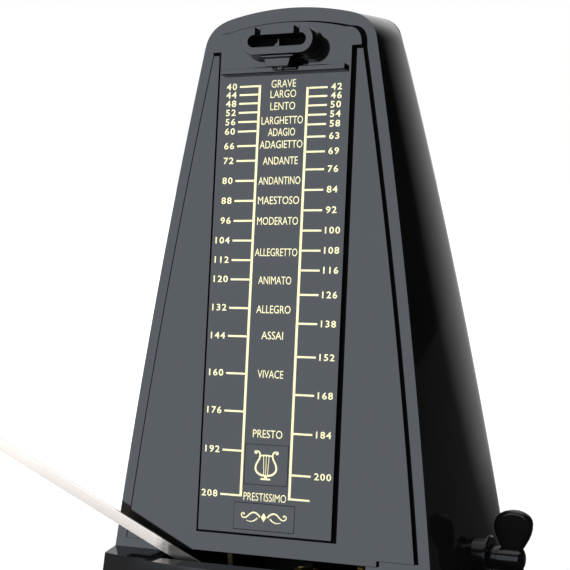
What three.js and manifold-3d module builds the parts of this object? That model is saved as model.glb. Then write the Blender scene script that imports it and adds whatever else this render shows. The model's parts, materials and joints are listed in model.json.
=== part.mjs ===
// Mechanical pyramid metronome with its front cover off, in millimetres.
// +X is the winding key's side, +Y the back, +Z up. The origin is the middle of the
// bottom cover's flat underside; the rubber feet reach a little below it.

import * as THREE from 'three';
import { mergeVertices } from 'three/addons/utils/BufferGeometryUtils.js';
import Module from 'manifold-3d';

const wasm = await Module();
wasm.setup();

// ---------------------------------------------------------------- driving dimensions

const FIT = 0.3;                    // running and seating gap between neighbours
const WALL = 2.4;                   // moulded wall of the housing
const BEYOND = 90;                  // a length that passes the case on every side

// the housing's tapering outline, by height above or below the scale's origin
const SCALE_HEIGHT = 123.8;         // height of the scale's origin
const SCALE_DEPTH = -25.7;          // the scale plate's face there, before the housing's middle
const LEAN = THREE.MathUtils.degToRad(10.1);        // how far the face leans back
const HALF_WIDTH = 41.1;            // half width of the face at the scale's origin
const WIDTH_TAPER = 0.144;
const HALF_DEPTH = 39.25;           // half depth there
const DEPTH_TAPER = 0.17;
const SIDE_BOW = 0.00026;           // the taper steepens with height
const PLAN_SIDE = 48.4;             // plan of the housing at the ledge: corner, before the bulge
const PLAN_DEPTH = 42.3;
const PLAN_FRONT_BULGE = 6.7;
const PLAN_SIDE_BULGE = 3.0;
const FRONT_EDGE_RADIUS = 1.5;
const BACK_EDGE_RADIUS = 8;
const LEDGE_HEIGHT = 60.3;          // top of the lower box, where the face is set back
const TOP_HEIGHT = 217.5;           // crown of the arched top
const TOP_RADIUS = 80;
const TOP_CORNER = 7.5;
const TOP_ARCH = 67.5;              // the arched outline takes over this far below the crown

// face: frame band lowest, then the inset panel, then the scale plate
const PLATE_RISE = 1.2;             // scale plate above the panel
const PANEL_RISE = 1.15;            // panel above the frame band
const FRAME_BAND = 3.95;            // width of the band at the scale's origin
const PANEL_LAP = 3.6;              // how far the panel laps the frame inside its edge
const PANEL_BOTTOM = 61.8;          // height of the panel's lower edge
const PANEL_BODY = 2.2;             // panel thickness behind the frame band
const PLATE_HALF = 20.7;            // half width of the scale plate's column
const PLATE_LOW = -56.8;            // along the slope from the scale's origin
const PLATE_SHOULDER = 82.9;        // where the column widens into the head
const PLATE_THICK = 1.2;
const PLATE_GROOVE = 0.5;
const HEAD_TOP = 91.1;
const HEAD_RADIUS = 75;
const HEAD_CORNER = 5;
const PANEL_STEP = { half: 34, rise: 1.6 };         // the panel's lower edge is raised outside this

// pendulum: its swing plane leans back less than the face
const SWING_LEAN = THREE.MathUtils.degToRad(4);
const PIVOT = new THREE.Vector3(0, -39.3, 48.8);
const ROD = { width: 3.4, thick: 0.9, top: 157, bottom: -42, eye: 4, stopGap: 0.6 };
const ARBOR_RADIUS = 1.25;
const BOB = { radius: 14, front: -3.9, back: 6.7, drop: 30.5 };
const WEIGHT = { rest: 148.6, half: 7.1, wide: 17.5, narrow: 13, front: -3.4, back: 1.5 };
const SLOT = { half: 30.5, front: -42.5, back: -33.6 };

// the swing either side of upright: the rod stops just clear of the slot's end
const slotRise = LEDGE_HEIGHT - PIVOT.z;
const SWING_STOP = Math.acos((ROD.width / 2 + ROD.stopGap) / Math.hypot(SLOT.half, slotRise))
  - Math.atan2(slotRise, SLOT.half);

// rod catch on the scale plate's head
const CATCH = { height: 84.4, half: 11.35, tall: 8.6, wall: 2.3, proud: 6.5, floor: 1.5 };
const CATCH_NOTCH = { x: 6.1, wide: 1.6, depth: 4.5 };
const CATCH_LUG = { left: -2.9, right: 4.7, bottom: CATCH.height - 8.1, proud: 2.6 };
const CATCH_HOOK = { wide: 1.2, rise: 0.9 };
const TONGUE = { top: CATCH.height - 4.6, bottom: CATCH.height - 7.9, wide: 5, narrow: 3.6,
  proud: 5.6, thick: 1.2, web: 1 };
const CATCH_SCREW = { height: CATCH.height - 7.55, head: 0.8, shank: 0.5, headTall: 0.5 };
const RIB = { height: CATCH.height - 7.9, half: 20, tall: 1.7, proud: 2 };

// clockwork, on arbors that run from side to side
const LEFT_PLATE = -14;
const RIGHT_PLATE = 34;
const PLATE_GAUGE = 1.5;
const MODULE_MM = 0.75;
const GREAT_TEETH = 48;
const CENTRE_TEETH = 32;
const PINION_LEAVES = 8;
const CROWN = { radius: 7.5, rim: 1.1, teeth: 15, tip: 3.5, back: 9.5, depth: 2.6 };
const WINDING = new THREE.Vector2(0, 57);           // the winding arbor, as (y, z)
const ESCAPE_Y = -22;
const BACKLASH = 0.12;

const BASE = { cover: 3, recess: 0.5, pad: { x: 26, y: 18 }, movement: 11.9, gauge: 1.5 };
const FOOT = { radius: 6, sink: 1, below: 2.5, x: 40, y: 32 };
const COVER_SCREW = { x: 48, y: 41, post: 5, shank: 1.3, head: 2.8, reach: 12, headTall: 1.2 };
const KEY = { shaft: 3.2, shaftReach: 11, standOff: 1.8, hub: 3.4, hubLong: 8, span: 14.5,
  thick: 3.2, lobe: 10.5, flare: 2.6, neck: 1.5, socketDeep: 6, endGap: 1 };
const KEY_BUSH = { inside: 4.38, proud: 2.82, lip: 1, radius: 5, flangeRadius: 6.2 };
const MOVEMENT_SCREW = { inset: 5, y: [-24, 14], shank: 1.1, head: 2.4, boss: 3.6 };

// ---------------------------------------------------------------- materials

const material = (color, roughness, metalness) =>
  new THREE.MeshStandardMaterial({ color, roughness, metalness });
const GLOSS_BLACK = material(0x050506, 0.08, 0);
const SATIN_BLACK = material(0x0c0c0d, 0.4, 0);
const STEEL = material(0xb9b7ae, 0.35, 1);
const DARK_STEEL = material(0x55565a, 0.4, 1);
const BRASS = material(0xc49a4a, 0.3, 1);
const CAST = material(0x6b6b6b, 0.6, 1);
const RUBBER = material(0x111111, 0.9, 0);

// ---------------------------------------------------------------- solids

function solid(geometry) {
  const bare = geometry.clone();
  for (const name of Object.keys(bare.attributes)) {
    if (name !== 'position') bare.deleteAttribute(name);
  }
  const merged = mergeVertices(bare, 1e-4);
  const triangles = [];
  const index = merged.index.array;
  for (let i = 0; i < index.length; i += 3) {
    const [a, b, c] = [index[i], index[i + 1], index[i + 2]];
    if (a !== b && b !== c && c !== a) triangles.push(a, b, c);
  }
  return new wasm.Manifold(new wasm.Mesh({
    numProp: 3,
    vertProperties: new Float32Array(merged.attributes.position.array),
    triVerts: new Uint32Array(triangles),
  }));
}

function geometryOf(body) {
  const mesh = body.getMesh();
  const geometry = new THREE.BufferGeometry();
  const points = mesh.vertProperties;
  geometry.setAttribute('position', new THREE.BufferAttribute(new Float32Array(points), 3));
  geometry.setIndex(new THREE.BufferAttribute(new Uint32Array(mesh.triVerts), 1));
  return geometry;
}

const cut = (body, ...tools) =>
  geometryOf(tools.reduce((left, tool) => left.subtract(solid(tool)), solid(body)));
const join = (body, ...more) =>
  geometryOf(more.reduce((sum, piece) => sum.add(solid(piece)), solid(body)));
const common = (body, other) => geometryOf(solid(body).intersect(solid(other)));

// turns a shape drawn in (y, z) so that its extrusion runs along +X
const ACROSS = new THREE.Matrix4().makeBasis(
  new THREE.Vector3(0, 1, 0), new THREE.Vector3(0, 0, 1), new THREE.Vector3(1, 0, 0));

const extrude = (shape, depth, curveSegments = 6) =>
  new THREE.ExtrudeGeometry(shape, { depth, curveSegments, bevelEnabled: false });

// a shape drawn in (x, z), made solid from y = front to y = back
const slab = (shape, front, back, curveSegments = 6) =>
  extrude(shape, back - front, curveSegments).rotateX(Math.PI / 2).translate(0, back, 0);

// a shape drawn in (y, z), made solid from x = left to x = right
const sheet = (shape, left, right, curveSegments = 6) =>
  extrude(shape, right - left, curveSegments).applyMatrix4(ACROSS).translate(left, 0, 0);

const block = (x0, x1, y0, y1, z0, z1) =>
  new THREE.BoxGeometry(x1 - x0, y1 - y0, z1 - z0)
    .translate((x0 + x1) / 2, (y0 + y1) / 2, (z0 + z1) / 2);

// a turned piece: [radius, height] pairs of a closed outline, about +Z
function turned(outline, segments = 20) {
  const points = outline.map(([r, h]) => new THREE.Vector2(r, h));
  if (THREE.ShapeUtils.area(points) < 0) points.reverse();
  if (points[0].x > 0) points.push(points[0].clone());
  return new THREE.LatheGeometry(points, segments).rotateX(Math.PI / 2);
}
const turnedX = (outline, segments = 20) => turned(outline, segments).rotateY(Math.PI / 2);
const turnedY = (outline, segments = 20) => turned(outline, segments).rotateX(-Math.PI / 2);
const pinZ = (radius, low, high, segments = 16) =>
  turned([[0, low], [radius, low], [radius, high], [0, high]], segments);
const pinX = (radius, low, high, segments = 16) => pinZ(radius, low, high, segments)
  .rotateY(Math.PI / 2);
const pinY = (radius, low, high, segments = 16) => pinZ(radius, low, high, segments)
  .rotateX(-Math.PI / 2);

function rectangle(x0, x1, y0, y1) {
  const shape = new THREE.Shape();
  shape.moveTo(x0, y0);
  shape.lineTo(x1, y0);
  shape.lineTo(x1, y1);
  shape.lineTo(x0, y1);
  shape.closePath();
  return shape;
}

function polygon(points) {
  const shape = new THREE.Shape();
  shape.moveTo(...points[0]);
  for (const point of points.slice(1)) shape.lineTo(...point);
  shape.closePath();
  return shape;
}

// ---------------------------------------------------------------- scene graph

const metronome = new THREE.Group();
metronome.name = 'metronome';

function group(parent, place = [0, 0, 0], turn = [0, 0, 0]) {
  const made = new THREE.Group();
  made.position.set(...place);
  made.rotation.set(...turn);
  parent.add(made);
  return made;
}

function piece(name, geometry, finish, parent = metronome) {
  const mesh = new THREE.Mesh(geometry, finish);
  mesh.name = name;
  parent.add(mesh);
  return mesh;
}

// the face: x across, z up the slope, -y out towards the player
const face = group(metronome, [0, SCALE_DEPTH, SCALE_HEIGHT], [-LEAN, 0, 0]);
const onFace = new THREE.Matrix4().makeTranslation(0, SCALE_DEPTH, SCALE_HEIGHT)
  .multiply(new THREE.Matrix4().makeRotationX(-LEAN));
const FRAME_FACE = PLATE_RISE + PANEL_RISE;         // frame band behind the plate's face

// ---------------------------------------------------------------- housing

const taper = (half, slope, height) => half - slope * height - SIDE_BOW * height * height;
const faceHalfWidth = (height) => taper(HALF_WIDTH, WIDTH_TAPER, height);
const bodyHalfDepth = (height) => taper(HALF_DEPTH, DEPTH_TAPER, height);
const ledgeHalfDepth = PLAN_DEPTH + PLAN_FRONT_BULGE;

// plan scale at a height above the origin: the face's corners lie on faceHalfWidth
function planScale(z) {
  const height = z - SCALE_HEIGHT;
  const deep = bodyHalfDepth(height) / ledgeHalfDepth;
  const frontY = SCALE_DEPTH + FRAME_FACE + height * Math.tan(LEAN);
  const share = frontY / deep / PLAN_DEPTH;
  const planHalf = PLAN_SIDE + PLAN_SIDE_BULGE * (1 - share * share);
  return { wide: faceHalfWidth(height) / planHalf, deep };
}

// plan at the ledge's level: four bowed sides, their corners rounded
function plan(inset) {
  const side = PLAN_SIDE - inset;
  const depth = PLAN_DEPTH - inset;
  const bowX = (y) => side + PLAN_SIDE_BULGE * (1 - (y / depth) ** 2);
  const bowY = (x) => depth + PLAN_FRONT_BULGE * (1 - (x / side) ** 2);
  const slopeX = (y) => -2 * PLAN_SIDE_BULGE * y / depth ** 2;
  const slopeY = (x) => -2 * PLAN_FRONT_BULGE * x / side ** 2;
  const cornerAt = (radius) => {
    const [x, y] = [side - radius, depth - radius];
    const [a, b] = [slopeX(y), slopeY(x)];
    const crossX = (bowX(y) + a * (bowY(x) - b * x - y)) / (1 - a * b);
    return { x, y, crossX, crossY: bowY(x) + b * (crossX - x), peak: bowY(x) - b * x };
  };
  const front = cornerAt(FRONT_EDGE_RADIUS);
  const back = cornerAt(Math.max(BACK_EDGE_RADIUS - inset, 1));
  const middle = (back.y - front.y) / 2;
  const flank = bowX(front.y) - slopeX(front.y) * (middle + front.y);
  const shape = new THREE.Shape();
  shape.moveTo(-front.x, -bowY(front.x));
  shape.quadraticCurveTo(0, -front.peak, front.x, -bowY(front.x));
  shape.quadraticCurveTo(front.crossX, -front.crossY, bowX(front.y), -front.y);
  shape.quadraticCurveTo(flank, middle, bowX(back.y), back.y);
  shape.quadraticCurveTo(back.crossX, back.crossY, back.x, bowY(back.x));
  shape.quadraticCurveTo(0, back.peak, -back.x, bowY(back.x));
  shape.quadraticCurveTo(-back.crossX, back.crossY, -bowX(back.y), back.y);
  shape.quadraticCurveTo(-flank, middle, -bowX(front.y), -front.y);
  shape.quadraticCurveTo(-front.crossX, -front.crossY, -front.x, -bowY(front.x));
  return shape;
}

function pyramid(inset, low, high, steps = 9) {
  const geometry = new THREE.ExtrudeGeometry(plan(inset), {
    depth: high - low, steps, curveSegments: 5, bevelEnabled: false,
  }).translate(0, 0, low);
  const points = geometry.attributes.position;
  for (let i = 0; i < points.count; i += 1) {
    const { wide, deep } = planScale(points.getZ(i));
    points.setX(i, points.getX(i) * wide);
    points.setY(i, points.getY(i) * deep);
  }
  return geometry;
}

// arched outline: crown, radius and corners, closed far below
function arch(half, crown, radius, corner, low, sideAt) {
  const drop = radius - Math.sqrt(radius * radius - (half - corner) * (half - corner));
  const shoulder = crown - drop - corner * 1.1;
  const shape = new THREE.Shape();
  shape.moveTo(-sideAt(low), low);
  shape.lineTo(sideAt(low), low);
  shape.lineTo(sideAt(shoulder), shoulder);
  shape.quadraticCurveTo(half, crown - drop, half - corner, crown - drop);
  shape.quadraticCurveTo(0, crown + drop, -half + corner, crown - drop);
  shape.quadraticCurveTo(-half, crown - drop, -sideAt(shoulder), shoulder);
  shape.closePath();
  return shape;
}

// the housing's bulk with every face moved inwards by inset
function bulk(inset, low) {
  const sideAt = (z) => faceHalfWidth(z - SCALE_HEIGHT) * 1.03 - inset;
  const crown = TOP_HEIGHT - inset;
  const half = faceHalfWidth(crown - SCALE_HEIGHT) - inset + 1;
  const archLow = crown - TOP_ARCH;
  const top = slab(arch(half, crown, TOP_RADIUS, TOP_CORNER, archLow, sideAt), -BEYOND, BEYOND, 8);
  const lower = block(-BEYOND, BEYOND, -BEYOND, BEYOND, low - WALL, archLow + WALL);
  const shaped = common(pyramid(inset, low, TOP_HEIGHT + 6), join(top, lower));
  const front = block(-BEYOND, BEYOND, -BEYOND, FRAME_FACE + inset, -2 * BEYOND, 2 * BEYOND)
    .applyMatrix4(onFace);
  const aboveLedge = block(-BEYOND, BEYOND, -BEYOND, BEYOND, LEDGE_HEIGHT - inset,
    TOP_HEIGHT + BEYOND);
  return cut(shaped, common(front, aboveLedge));
}

// places along the winding arbor that follow the side wall at the key's bush
const keyWall = (PLAN_SIDE + PLAN_SIDE_BULGE) * planScale(WINDING.y - KEY_BUSH.flangeRadius).wide;
const bushFlange = keyWall + KEY_BUSH.proud;
const bushRight = bushFlange + KEY_BUSH.lip;
const hubLeft = bushRight + KEY.standOff;
const hubRight = hubLeft + KEY.hubLong;
const shaftLeft = hubLeft - KEY.shaftReach;

const panelHalf = (along) => taper(HALF_WIDTH - FRAME_BAND, WIDTH_TAPER * Math.cos(LEAN), along);
const slope = (height) => (height - SCALE_HEIGHT) / Math.cos(LEAN);

// the panel's outline on the face, grown by margin
function panelOutline(margin) {
  const low = slope(PANEL_BOTTOM) - margin;
  const half = panelHalf(PLATE_SHOULDER) + margin;
  const top = arch(half, HEAD_TOP + margin, HEAD_RADIUS, HEAD_CORNER, low,
    (s) => panelHalf(s) + margin);
  return top;
}

const housingScrewPosts = [-1, 1].flatMap((sx) => [-1, 1].map((sy) => [sx, sy]));

function housing() {
  const shell = cut(bulk(0, 0), bulk(WALL, -4));
  const corner = ([sx, sy]) => {
    const { x, y, post: postHalf } = COVER_SCREW;
    const [nearX, nearY] = [x - postHalf, y - postHalf];
    const post = block(Math.min(sx * nearX, sx * BEYOND), Math.max(sx * nearX, sx * BEYOND),
      Math.min(sy * nearY, sy * BEYOND), Math.max(sy * nearY, sy * BEYOND),
      BASE.cover + FIT, COVER_SCREW.reach + 2);
    return common(post, pyramid(WALL / 2, 0, 2 * COVER_SCREW.reach, 1));
  };
  const withPosts = join(shell, ...housingScrewPosts.map(corner));
  const screwHoles = housingScrewPosts.map(([sx, sy]) =>
    pinZ(COVER_SCREW.shank + FIT, -1, COVER_SCREW.reach + FIT, 12)
      .translate(sx * COVER_SCREW.x, sy * COVER_SCREW.y, 0));
  const window = slab(panelOutline(-PANEL_LAP), -2, 8).applyMatrix4(onFace);
  const slot = block(-SLOT.half, SLOT.half, SLOT.front, SLOT.back,
    LEDGE_HEIGHT - WALL - 3, PANEL_BOTTOM + 0.6);
  const keyHole = pinX(KEY_BUSH.radius + FIT, HALF_WIDTH, 2 * HALF_WIDTH, 20)
    .translate(0, WINDING.x, WINDING.y);
  return cut(withPosts, ...screwHoles, window, slot, keyHole);
}
piece('housing', housing(), GLOSS_BLACK);

// ---------------------------------------------------------------- face pieces

function plateOutline(margin) {
  const shoulder = PLATE_SHOULDER - margin;
  const half = PLATE_HALF + margin;
  const head = arch(panelHalf(PLATE_SHOULDER), HEAD_TOP, HEAD_RADIUS, HEAD_CORNER,
    shoulder, panelHalf);
  return { head, column: rectangle(-half, half, PLATE_LOW - margin, PLATE_SHOULDER + 1) };
}

function frontPanel() {
  const rim = slab(panelOutline(0), PLATE_RISE, FRAME_FACE - FIT);
  const body = slab(panelOutline(-PANEL_LAP - FIT), PLATE_RISE + 0.1, FRAME_FACE + PANEL_BODY);
  const { head, column } = plateOutline(PLATE_GROOVE);
  const floor = PLATE_THICK + FIT;
  const low = slope(PANEL_BOTTOM);
  const step = (side) => block(Math.min(side * PANEL_STEP.half, side * PLAN_SIDE * 2),
    Math.max(side * PANEL_STEP.half, side * PLAN_SIDE * 2), 0, FRAME_FACE,
    low - 1, low + PANEL_STEP.rise);
  return cut(join(rim, body), slab(head, -1, floor), slab(column, -1, floor), step(-1), step(1));
}
piece('front_panel', frontPanel(), GLOSS_BLACK, face);

function scalePlate() {
  const { head, column } = plateOutline(0);
  const rib = block(-RIB.half, RIB.half, -RIB.proud, PLATE_THICK / 2,
    RIB.height - RIB.tall / 2, RIB.height + RIB.tall / 2);
  const lugSeat = block(CATCH_LUG.left - FIT, CATCH_LUG.right + FIT, -RIB.proud - 1, 0,
    CATCH_LUG.bottom - FIT, RIB.height + RIB.tall);
  const hole = pinY(CATCH_SCREW.shank + FIT, -1, 3).translate(0, 0, CATCH_SCREW.height);
  return cut(join(slab(head, 0, PLATE_THICK), slab(column, 0, PLATE_THICK), rib), lugSeat, hole);
}
piece('scale_plate', scalePlate(), GLOSS_BLACK, face);

function stadium(half, tall) {
  const r = tall / 2;
  const shape = new THREE.Shape();
  shape.absarc(half - r, 0, r, -Math.PI / 2, Math.PI / 2, false);
  shape.absarc(-half + r, 0, r, Math.PI / 2, Math.PI * 1.5, false);
  return shape;
}

function rodCatch() {
  const { height, half, tall, wall, proud, floor: floorDepth } = CATCH;
  const inner = tall - 2 * wall;
  const ring = stadium(half, tall);
  ring.holes.push(stadium(half - wall, inner));
  const tube = slab(ring, -proud, -FIT, 8).translate(0, 0, height);
  const floor = slab(stadium(half - wall / 2, tall - wall), -floorDepth, -FIT, 8)
    .translate(0, 0, height);
  const { top, bottom, wide, narrow, web } = TONGUE;
  const intoRing = top + wall / 4;
  const tongue = polygon([[-narrow, bottom], [narrow, bottom], [wide, intoRing],
    [-wide, intoRing]]);
  const lip = slab(tongue, -TONGUE.proud, -TONGUE.proud + TONGUE.thick);
  const aboveRib = RIB.height + RIB.tall / 2 + FIT;
  const pad = block(-narrow - web / 2, narrow + web / 2, -floorDepth, -FIT, aboveRib, intoRing);
  const lug = block(CATCH_LUG.left, CATCH_LUG.right, -CATCH_LUG.proud, -FIT, CATCH_LUG.bottom,
    aboveRib + web);
  const sideWeb = (side) => block(side * narrow - web / 2, side * narrow + web / 2,
    -TONGUE.proud + TONGUE.thick / 2, -floorDepth + FIT, aboveRib, intoRing);
  const hook = block(-CATCH_HOOK.wide / 2, CATCH_HOOK.wide / 2, -proud + CATCH_HOOK.wide / 2,
    -floorDepth + FIT, height - inner / 2 - FIT, height + CATCH_HOOK.rise);
  const notch = (side) => block(side * CATCH_NOTCH.x - CATCH_NOTCH.wide / 2,
    side * CATCH_NOTCH.x + CATCH_NOTCH.wide / 2, -proud - 1, -proud + CATCH_NOTCH.depth,
    height + inner / 2 - wall / 4, height + tall / 2 + 1);
  const hole = pinY(CATCH_SCREW.shank + FIT, -CATCH_LUG.proud - 1, 0)
    .translate(0, 0, CATCH_SCREW.height);
  return cut(join(tube, floor, lip, pad, lug, sideWeb(-1), sideWeb(1), hook), notch(-1),
    notch(1), hole);
}
piece('rod_catch', rodCatch(), GLOSS_BLACK, face);

const catchSeat = -CATCH_LUG.proud - FIT;
const catchScrew = turnedY([[0, catchSeat - CATCH_SCREW.headTall],
  [CATCH_SCREW.head, catchSeat - CATCH_SCREW.headTall], [CATCH_SCREW.head, catchSeat],
  [CATCH_SCREW.shank, catchSeat], [CATCH_SCREW.shank, PLATE_THICK - FIT], [0, PLATE_THICK - FIT]],
14).translate(0, 0, CATCH_SCREW.height);
piece('catch_screw', catchScrew, STEEL, face);

// ---------------------------------------------------------------- bottom cover and feet

const corners = [['front_left', -1, -1], ['front_right', 1, -1], ['rear_left', -1, 1],
  ['rear_right', 1, 1]];
const movementX = [LEFT_PLATE + MOVEMENT_SCREW.inset, RIGHT_PLATE - MOVEMENT_SCREW.inset];
const movementScrews = [['front_left', movementX[0], MOVEMENT_SCREW.y[0]],
  ['front_right', movementX[1], MOVEMENT_SCREW.y[0]],
  ['rear_left', movementX[0], MOVEMENT_SCREW.y[1]],
  ['rear_right', movementX[1], MOVEMENT_SCREW.y[1]]];

function bottomCover() {
  const plate = pyramid(WALL + FIT, BASE.recess, BASE.cover, 1);
  const { x, y } = BASE.pad;
  const pad = block(-x, x, -y, y, 0, BASE.recess + 0.1);
  const bosses = movementScrews.map(([, x, y]) =>
    pinZ(MOVEMENT_SCREW.boss, BASE.cover - 1, BASE.movement - FIT, 12).translate(x, y, 0));
  const bossHoles = movementScrews.map(([, x, y]) =>
    pinZ(MOVEMENT_SCREW.shank + FIT, BASE.cover + 0.6, BASE.movement + 1, 10)
      .translate(x, y, 0));
  const screwHoles = corners.map(([, sx, sy]) => turned([[0, -1], [COVER_SCREW.head + FIT, -1],
    [COVER_SCREW.head + FIT, BASE.recess + COVER_SCREW.headTall + FIT],
    [COVER_SCREW.shank + FIT, BASE.recess + COVER_SCREW.headTall + FIT],
    [COVER_SCREW.shank + FIT, BASE.cover + 1], [0, BASE.cover + 1]], 12)
    .translate(sx * COVER_SCREW.x, sy * COVER_SCREW.y, 0));
  const footSeats = corners.map(([, sx, sy]) =>
    pinZ(FOOT.radius + FIT, -1, FOOT.sink + FIT, 20).translate(sx * FOOT.x, sy * FOOT.y, 0));
  return cut(join(plate, pad, ...bosses), ...bossHoles, ...screwHoles, ...footSeats);
}
piece('bottom_cover', bottomCover(), SATIN_BLACK);

for (const [where, sx, sy] of corners) {
  const foot = turned([[0, -FOOT.below], [FOOT.radius - 0.6, -FOOT.below],
    [FOOT.radius, -FOOT.below + 0.6], [FOOT.radius, FOOT.sink], [0, FOOT.sink]]);
  piece(`foot_${where}`, foot, RUBBER).position.set(sx * FOOT.x, sy * FOOT.y, 0);
  const { head, headTall, shank, reach } = COVER_SCREW;
  const seat = BASE.recess + headTall;
  const screw = turned([[0, BASE.recess], [head, BASE.recess], [head, seat], [shank, seat],
    [shank, reach], [0, reach]], 12);
  piece(`cover_screw_${where}`, screw, STEEL).position
    .set(sx * COVER_SCREW.x, sy * COVER_SCREW.y, 0);
}

// ---------------------------------------------------------------- clockwork: where its arbors lie

const pivotLineZ = (y) => PIVOT.z - (y - PIVOT.y) * Math.tan(SWING_LEAN);
const ESCAPE = new THREE.Vector2(ESCAPE_Y, pivotLineZ(ESCAPE_Y));
const pitchRadius = (teeth) => teeth * MODULE_MM / 2;
const greatToCentre = pitchRadius(GREAT_TEETH) + pitchRadius(PINION_LEAVES) + BACKLASH;
const centreToEscape = pitchRadius(CENTRE_TEETH) + pitchRadius(PINION_LEAVES) + BACKLASH;

// the centre arbor lies below the line from the winding arbor to the escape arbor
function centreArbor() {
  const line = ESCAPE.clone().sub(WINDING);
  const span = line.length();
  const share = (greatToCentre ** 2 - centreToEscape ** 2 + span ** 2) / (2 * span);
  const aside = Math.sqrt(greatToCentre ** 2 - share ** 2);
  const unit = line.divideScalar(span);
  return new THREE.Vector2(WINDING.x + unit.x * share - unit.y * aside,
    WINDING.y + unit.y * share + unit.x * aside);
}
const CENTRE = centreArbor();
const bearing = (from, to) => Math.atan2(to.y - from.y, to.x - from.x);

// ---------------------------------------------------------------- movement frame

const FRAME_SPAN = { front: -30.5, back: 20, low: BASE.movement + BASE.gauge + FIT, high: 78,
  slant: 6 };
const PILLAR = { front: -27, frontHigh: -21.5, rear: 16.5, low: 19, high: 73, rearHigh: 72,
  radius: 2, end: 1.2 };
const PILLARS = [['front_low', PILLAR.front, PILLAR.low], ['rear_low', PILLAR.rear, PILLAR.low],
  ['front_high', PILLAR.frontHigh, PILLAR.high], ['rear_high', PILLAR.rear, PILLAR.rearHigh]];
const ARBOR_RADIUS_INSIDE = 1.4;
const ARBOR_PIVOT = 1;
const WINDING_RADIUS = 2;

function movementPlate(left, holes) {
  const { front, back, low, high, slant } = FRAME_SPAN;
  const outline = polygon([[front, low], [back, low], [back, high], [front + slant, high],
    [front, high - 3 * slant]]);
  const plate = sheet(outline, left, left + PLATE_GAUGE);
  const drills = holes.map(([y, z, radius]) =>
    pinX(radius + FIT, left - 1, left + PLATE_GAUGE + 1, 10).translate(0, y, z));
  return cut(plate, ...drills);
}

const pillarHoles = PILLARS.map(([, y, z]) => [y, z, PILLAR.end]);
const centreHole = [CENTRE.x, CENTRE.y, ARBOR_PIVOT];
const escapeHole = [ESCAPE.x, ESCAPE.y, ARBOR_PIVOT];
const COCKS = { front: { y: -33.4, thick: 1.8 }, rear: { y: -9.6, thick: 1.8 } };
const COCK = { low: 41.5, high: 53, right: 4 };
const CLICK_OFFSET = { back: 9.6, up: 6.4 };         // from the winding arbor
const POST_OFFSET = { back: 2, up: 14.5 };
const CLICK_STUD = { y: WINDING.x + CLICK_OFFSET.back, z: WINDING.y + CLICK_OFFSET.up, radius: 1.2 };
const SPRING_POST = { y: WINDING.x + POST_OFFSET.back, z: WINDING.y + POST_OFFSET.up, radius: 1 };
const SPRING_LEAF = { start: 1.5, end: 11.2, gauge: 0.4, droop: 0.42 };

const leftHoles = [...pillarHoles, centreHole, [WINDING.x, WINDING.y, WINDING_RADIUS]];
const rightHoles = [...leftHoles, escapeHole, [CLICK_STUD.y, CLICK_STUD.z, CLICK_STUD.radius],
  [SPRING_POST.y, SPRING_POST.z, SPRING_POST.radius]];
piece('movement_plate_left', movementPlate(LEFT_PLATE, leftHoles), BRASS);
piece('movement_plate_right', movementPlate(RIGHT_PLATE, rightHoles), BRASS);

// each pillar is shouldered between the plates, its ends through their holes
for (const [where, y, z] of PILLARS) {
  const left = LEFT_PLATE + PLATE_GAUGE + FIT;
  const right = RIGHT_PLATE - FIT;
  const { end, radius } = PILLAR;
  const pillar = turnedX([[0, LEFT_PLATE - 1], [end, LEFT_PLATE - 1], [end, left],
    [radius, left], [radius, right], [end, right],
    [end, RIGHT_PLATE + PLATE_GAUGE + 1], [0, RIGHT_PLATE + PLATE_GAUGE + 1]], 10);
  piece(`pillar_${where}`, pillar, STEEL).position.set(0, y, z);
}

function movementBase() {
  const { front, back } = FRAME_SPAN;
  const tray = block(LEFT_PLATE - 1, RIGHT_PLATE + PLATE_GAUGE + 1, front, back,
    BASE.movement, BASE.movement + BASE.gauge);
  const holes = movementScrews.map(([, x, y]) => pinZ(MOVEMENT_SCREW.shank + FIT, BASE.movement - FIT,
    BASE.movement + BASE.gauge + FIT).translate(x, y, 0));
  return cut(tray, ...holes);
}
piece('movement_base', movementBase(), STEEL);

for (const [where, x, y] of movementScrews) {
  const top = BASE.movement + BASE.gauge + FIT;
  const screw = turned([[0, BASE.cover + 1], [MOVEMENT_SCREW.shank, BASE.cover + 1],
    [MOVEMENT_SCREW.shank, top], [MOVEMENT_SCREW.head, top], [MOVEMENT_SCREW.head, top + 1.4],
    [0, top + 1.4]], 14);
  piece(`movement_screw_${where}`, screw, STEEL).position.set(x, y, 0);
}

// ---------------------------------------------------------------- wheels

function gearShape(teeth, bore) {
  const pitch = pitchRadius(teeth);
  const tip = pitch + 0.8 * MODULE_MM;
  const root = pitch - 1.15 * MODULE_MM;
  const step = 2 * Math.PI / teeth;
  const flank = [[root, -0.3], [tip, -0.1], [tip, 0.1], [root, 0.3]];
  const points = Array.from({ length: teeth }, (_, tooth) => flank.map(([radius, share]) => {
    const angle = (tooth + share) * step;
    return [radius * Math.cos(angle), radius * Math.sin(angle)];
  })).flat();
  const shape = polygon(points);
  const hole = new THREE.Path();
  hole.absarc(0, 0, bore, 0, 2 * Math.PI, true);
  shape.holes.push(hole);
  return shape;
}

const gear = (teeth, bore, left, right) => sheet(gearShape(teeth, bore), left, right, 8);

function onArbor(name, geometry, finish, arbor, phase = 0) {
  const mesh = piece(name, geometry, finish);
  mesh.position.set(0, arbor.x, arbor.y);
  mesh.rotation.x = phase;
  return mesh;
}

// a tooth of the wheel and a gap of the pinion meet on the line between their arbors
const wheelPhase = (from, to) => bearing(from, to);
const pinionPhase = (from, to) => bearing(from, to) + Math.PI / PINION_LEAVES;

const GREAT = { left: 21, right: 23 };
const CENTRE_WHEEL = { left: 14, right: 15.2 };
const HUB = 3.4;
const POTENCE = { left: 1.7, right: 2.9, half: 2.4, low: 30, foot: 4 };

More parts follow.
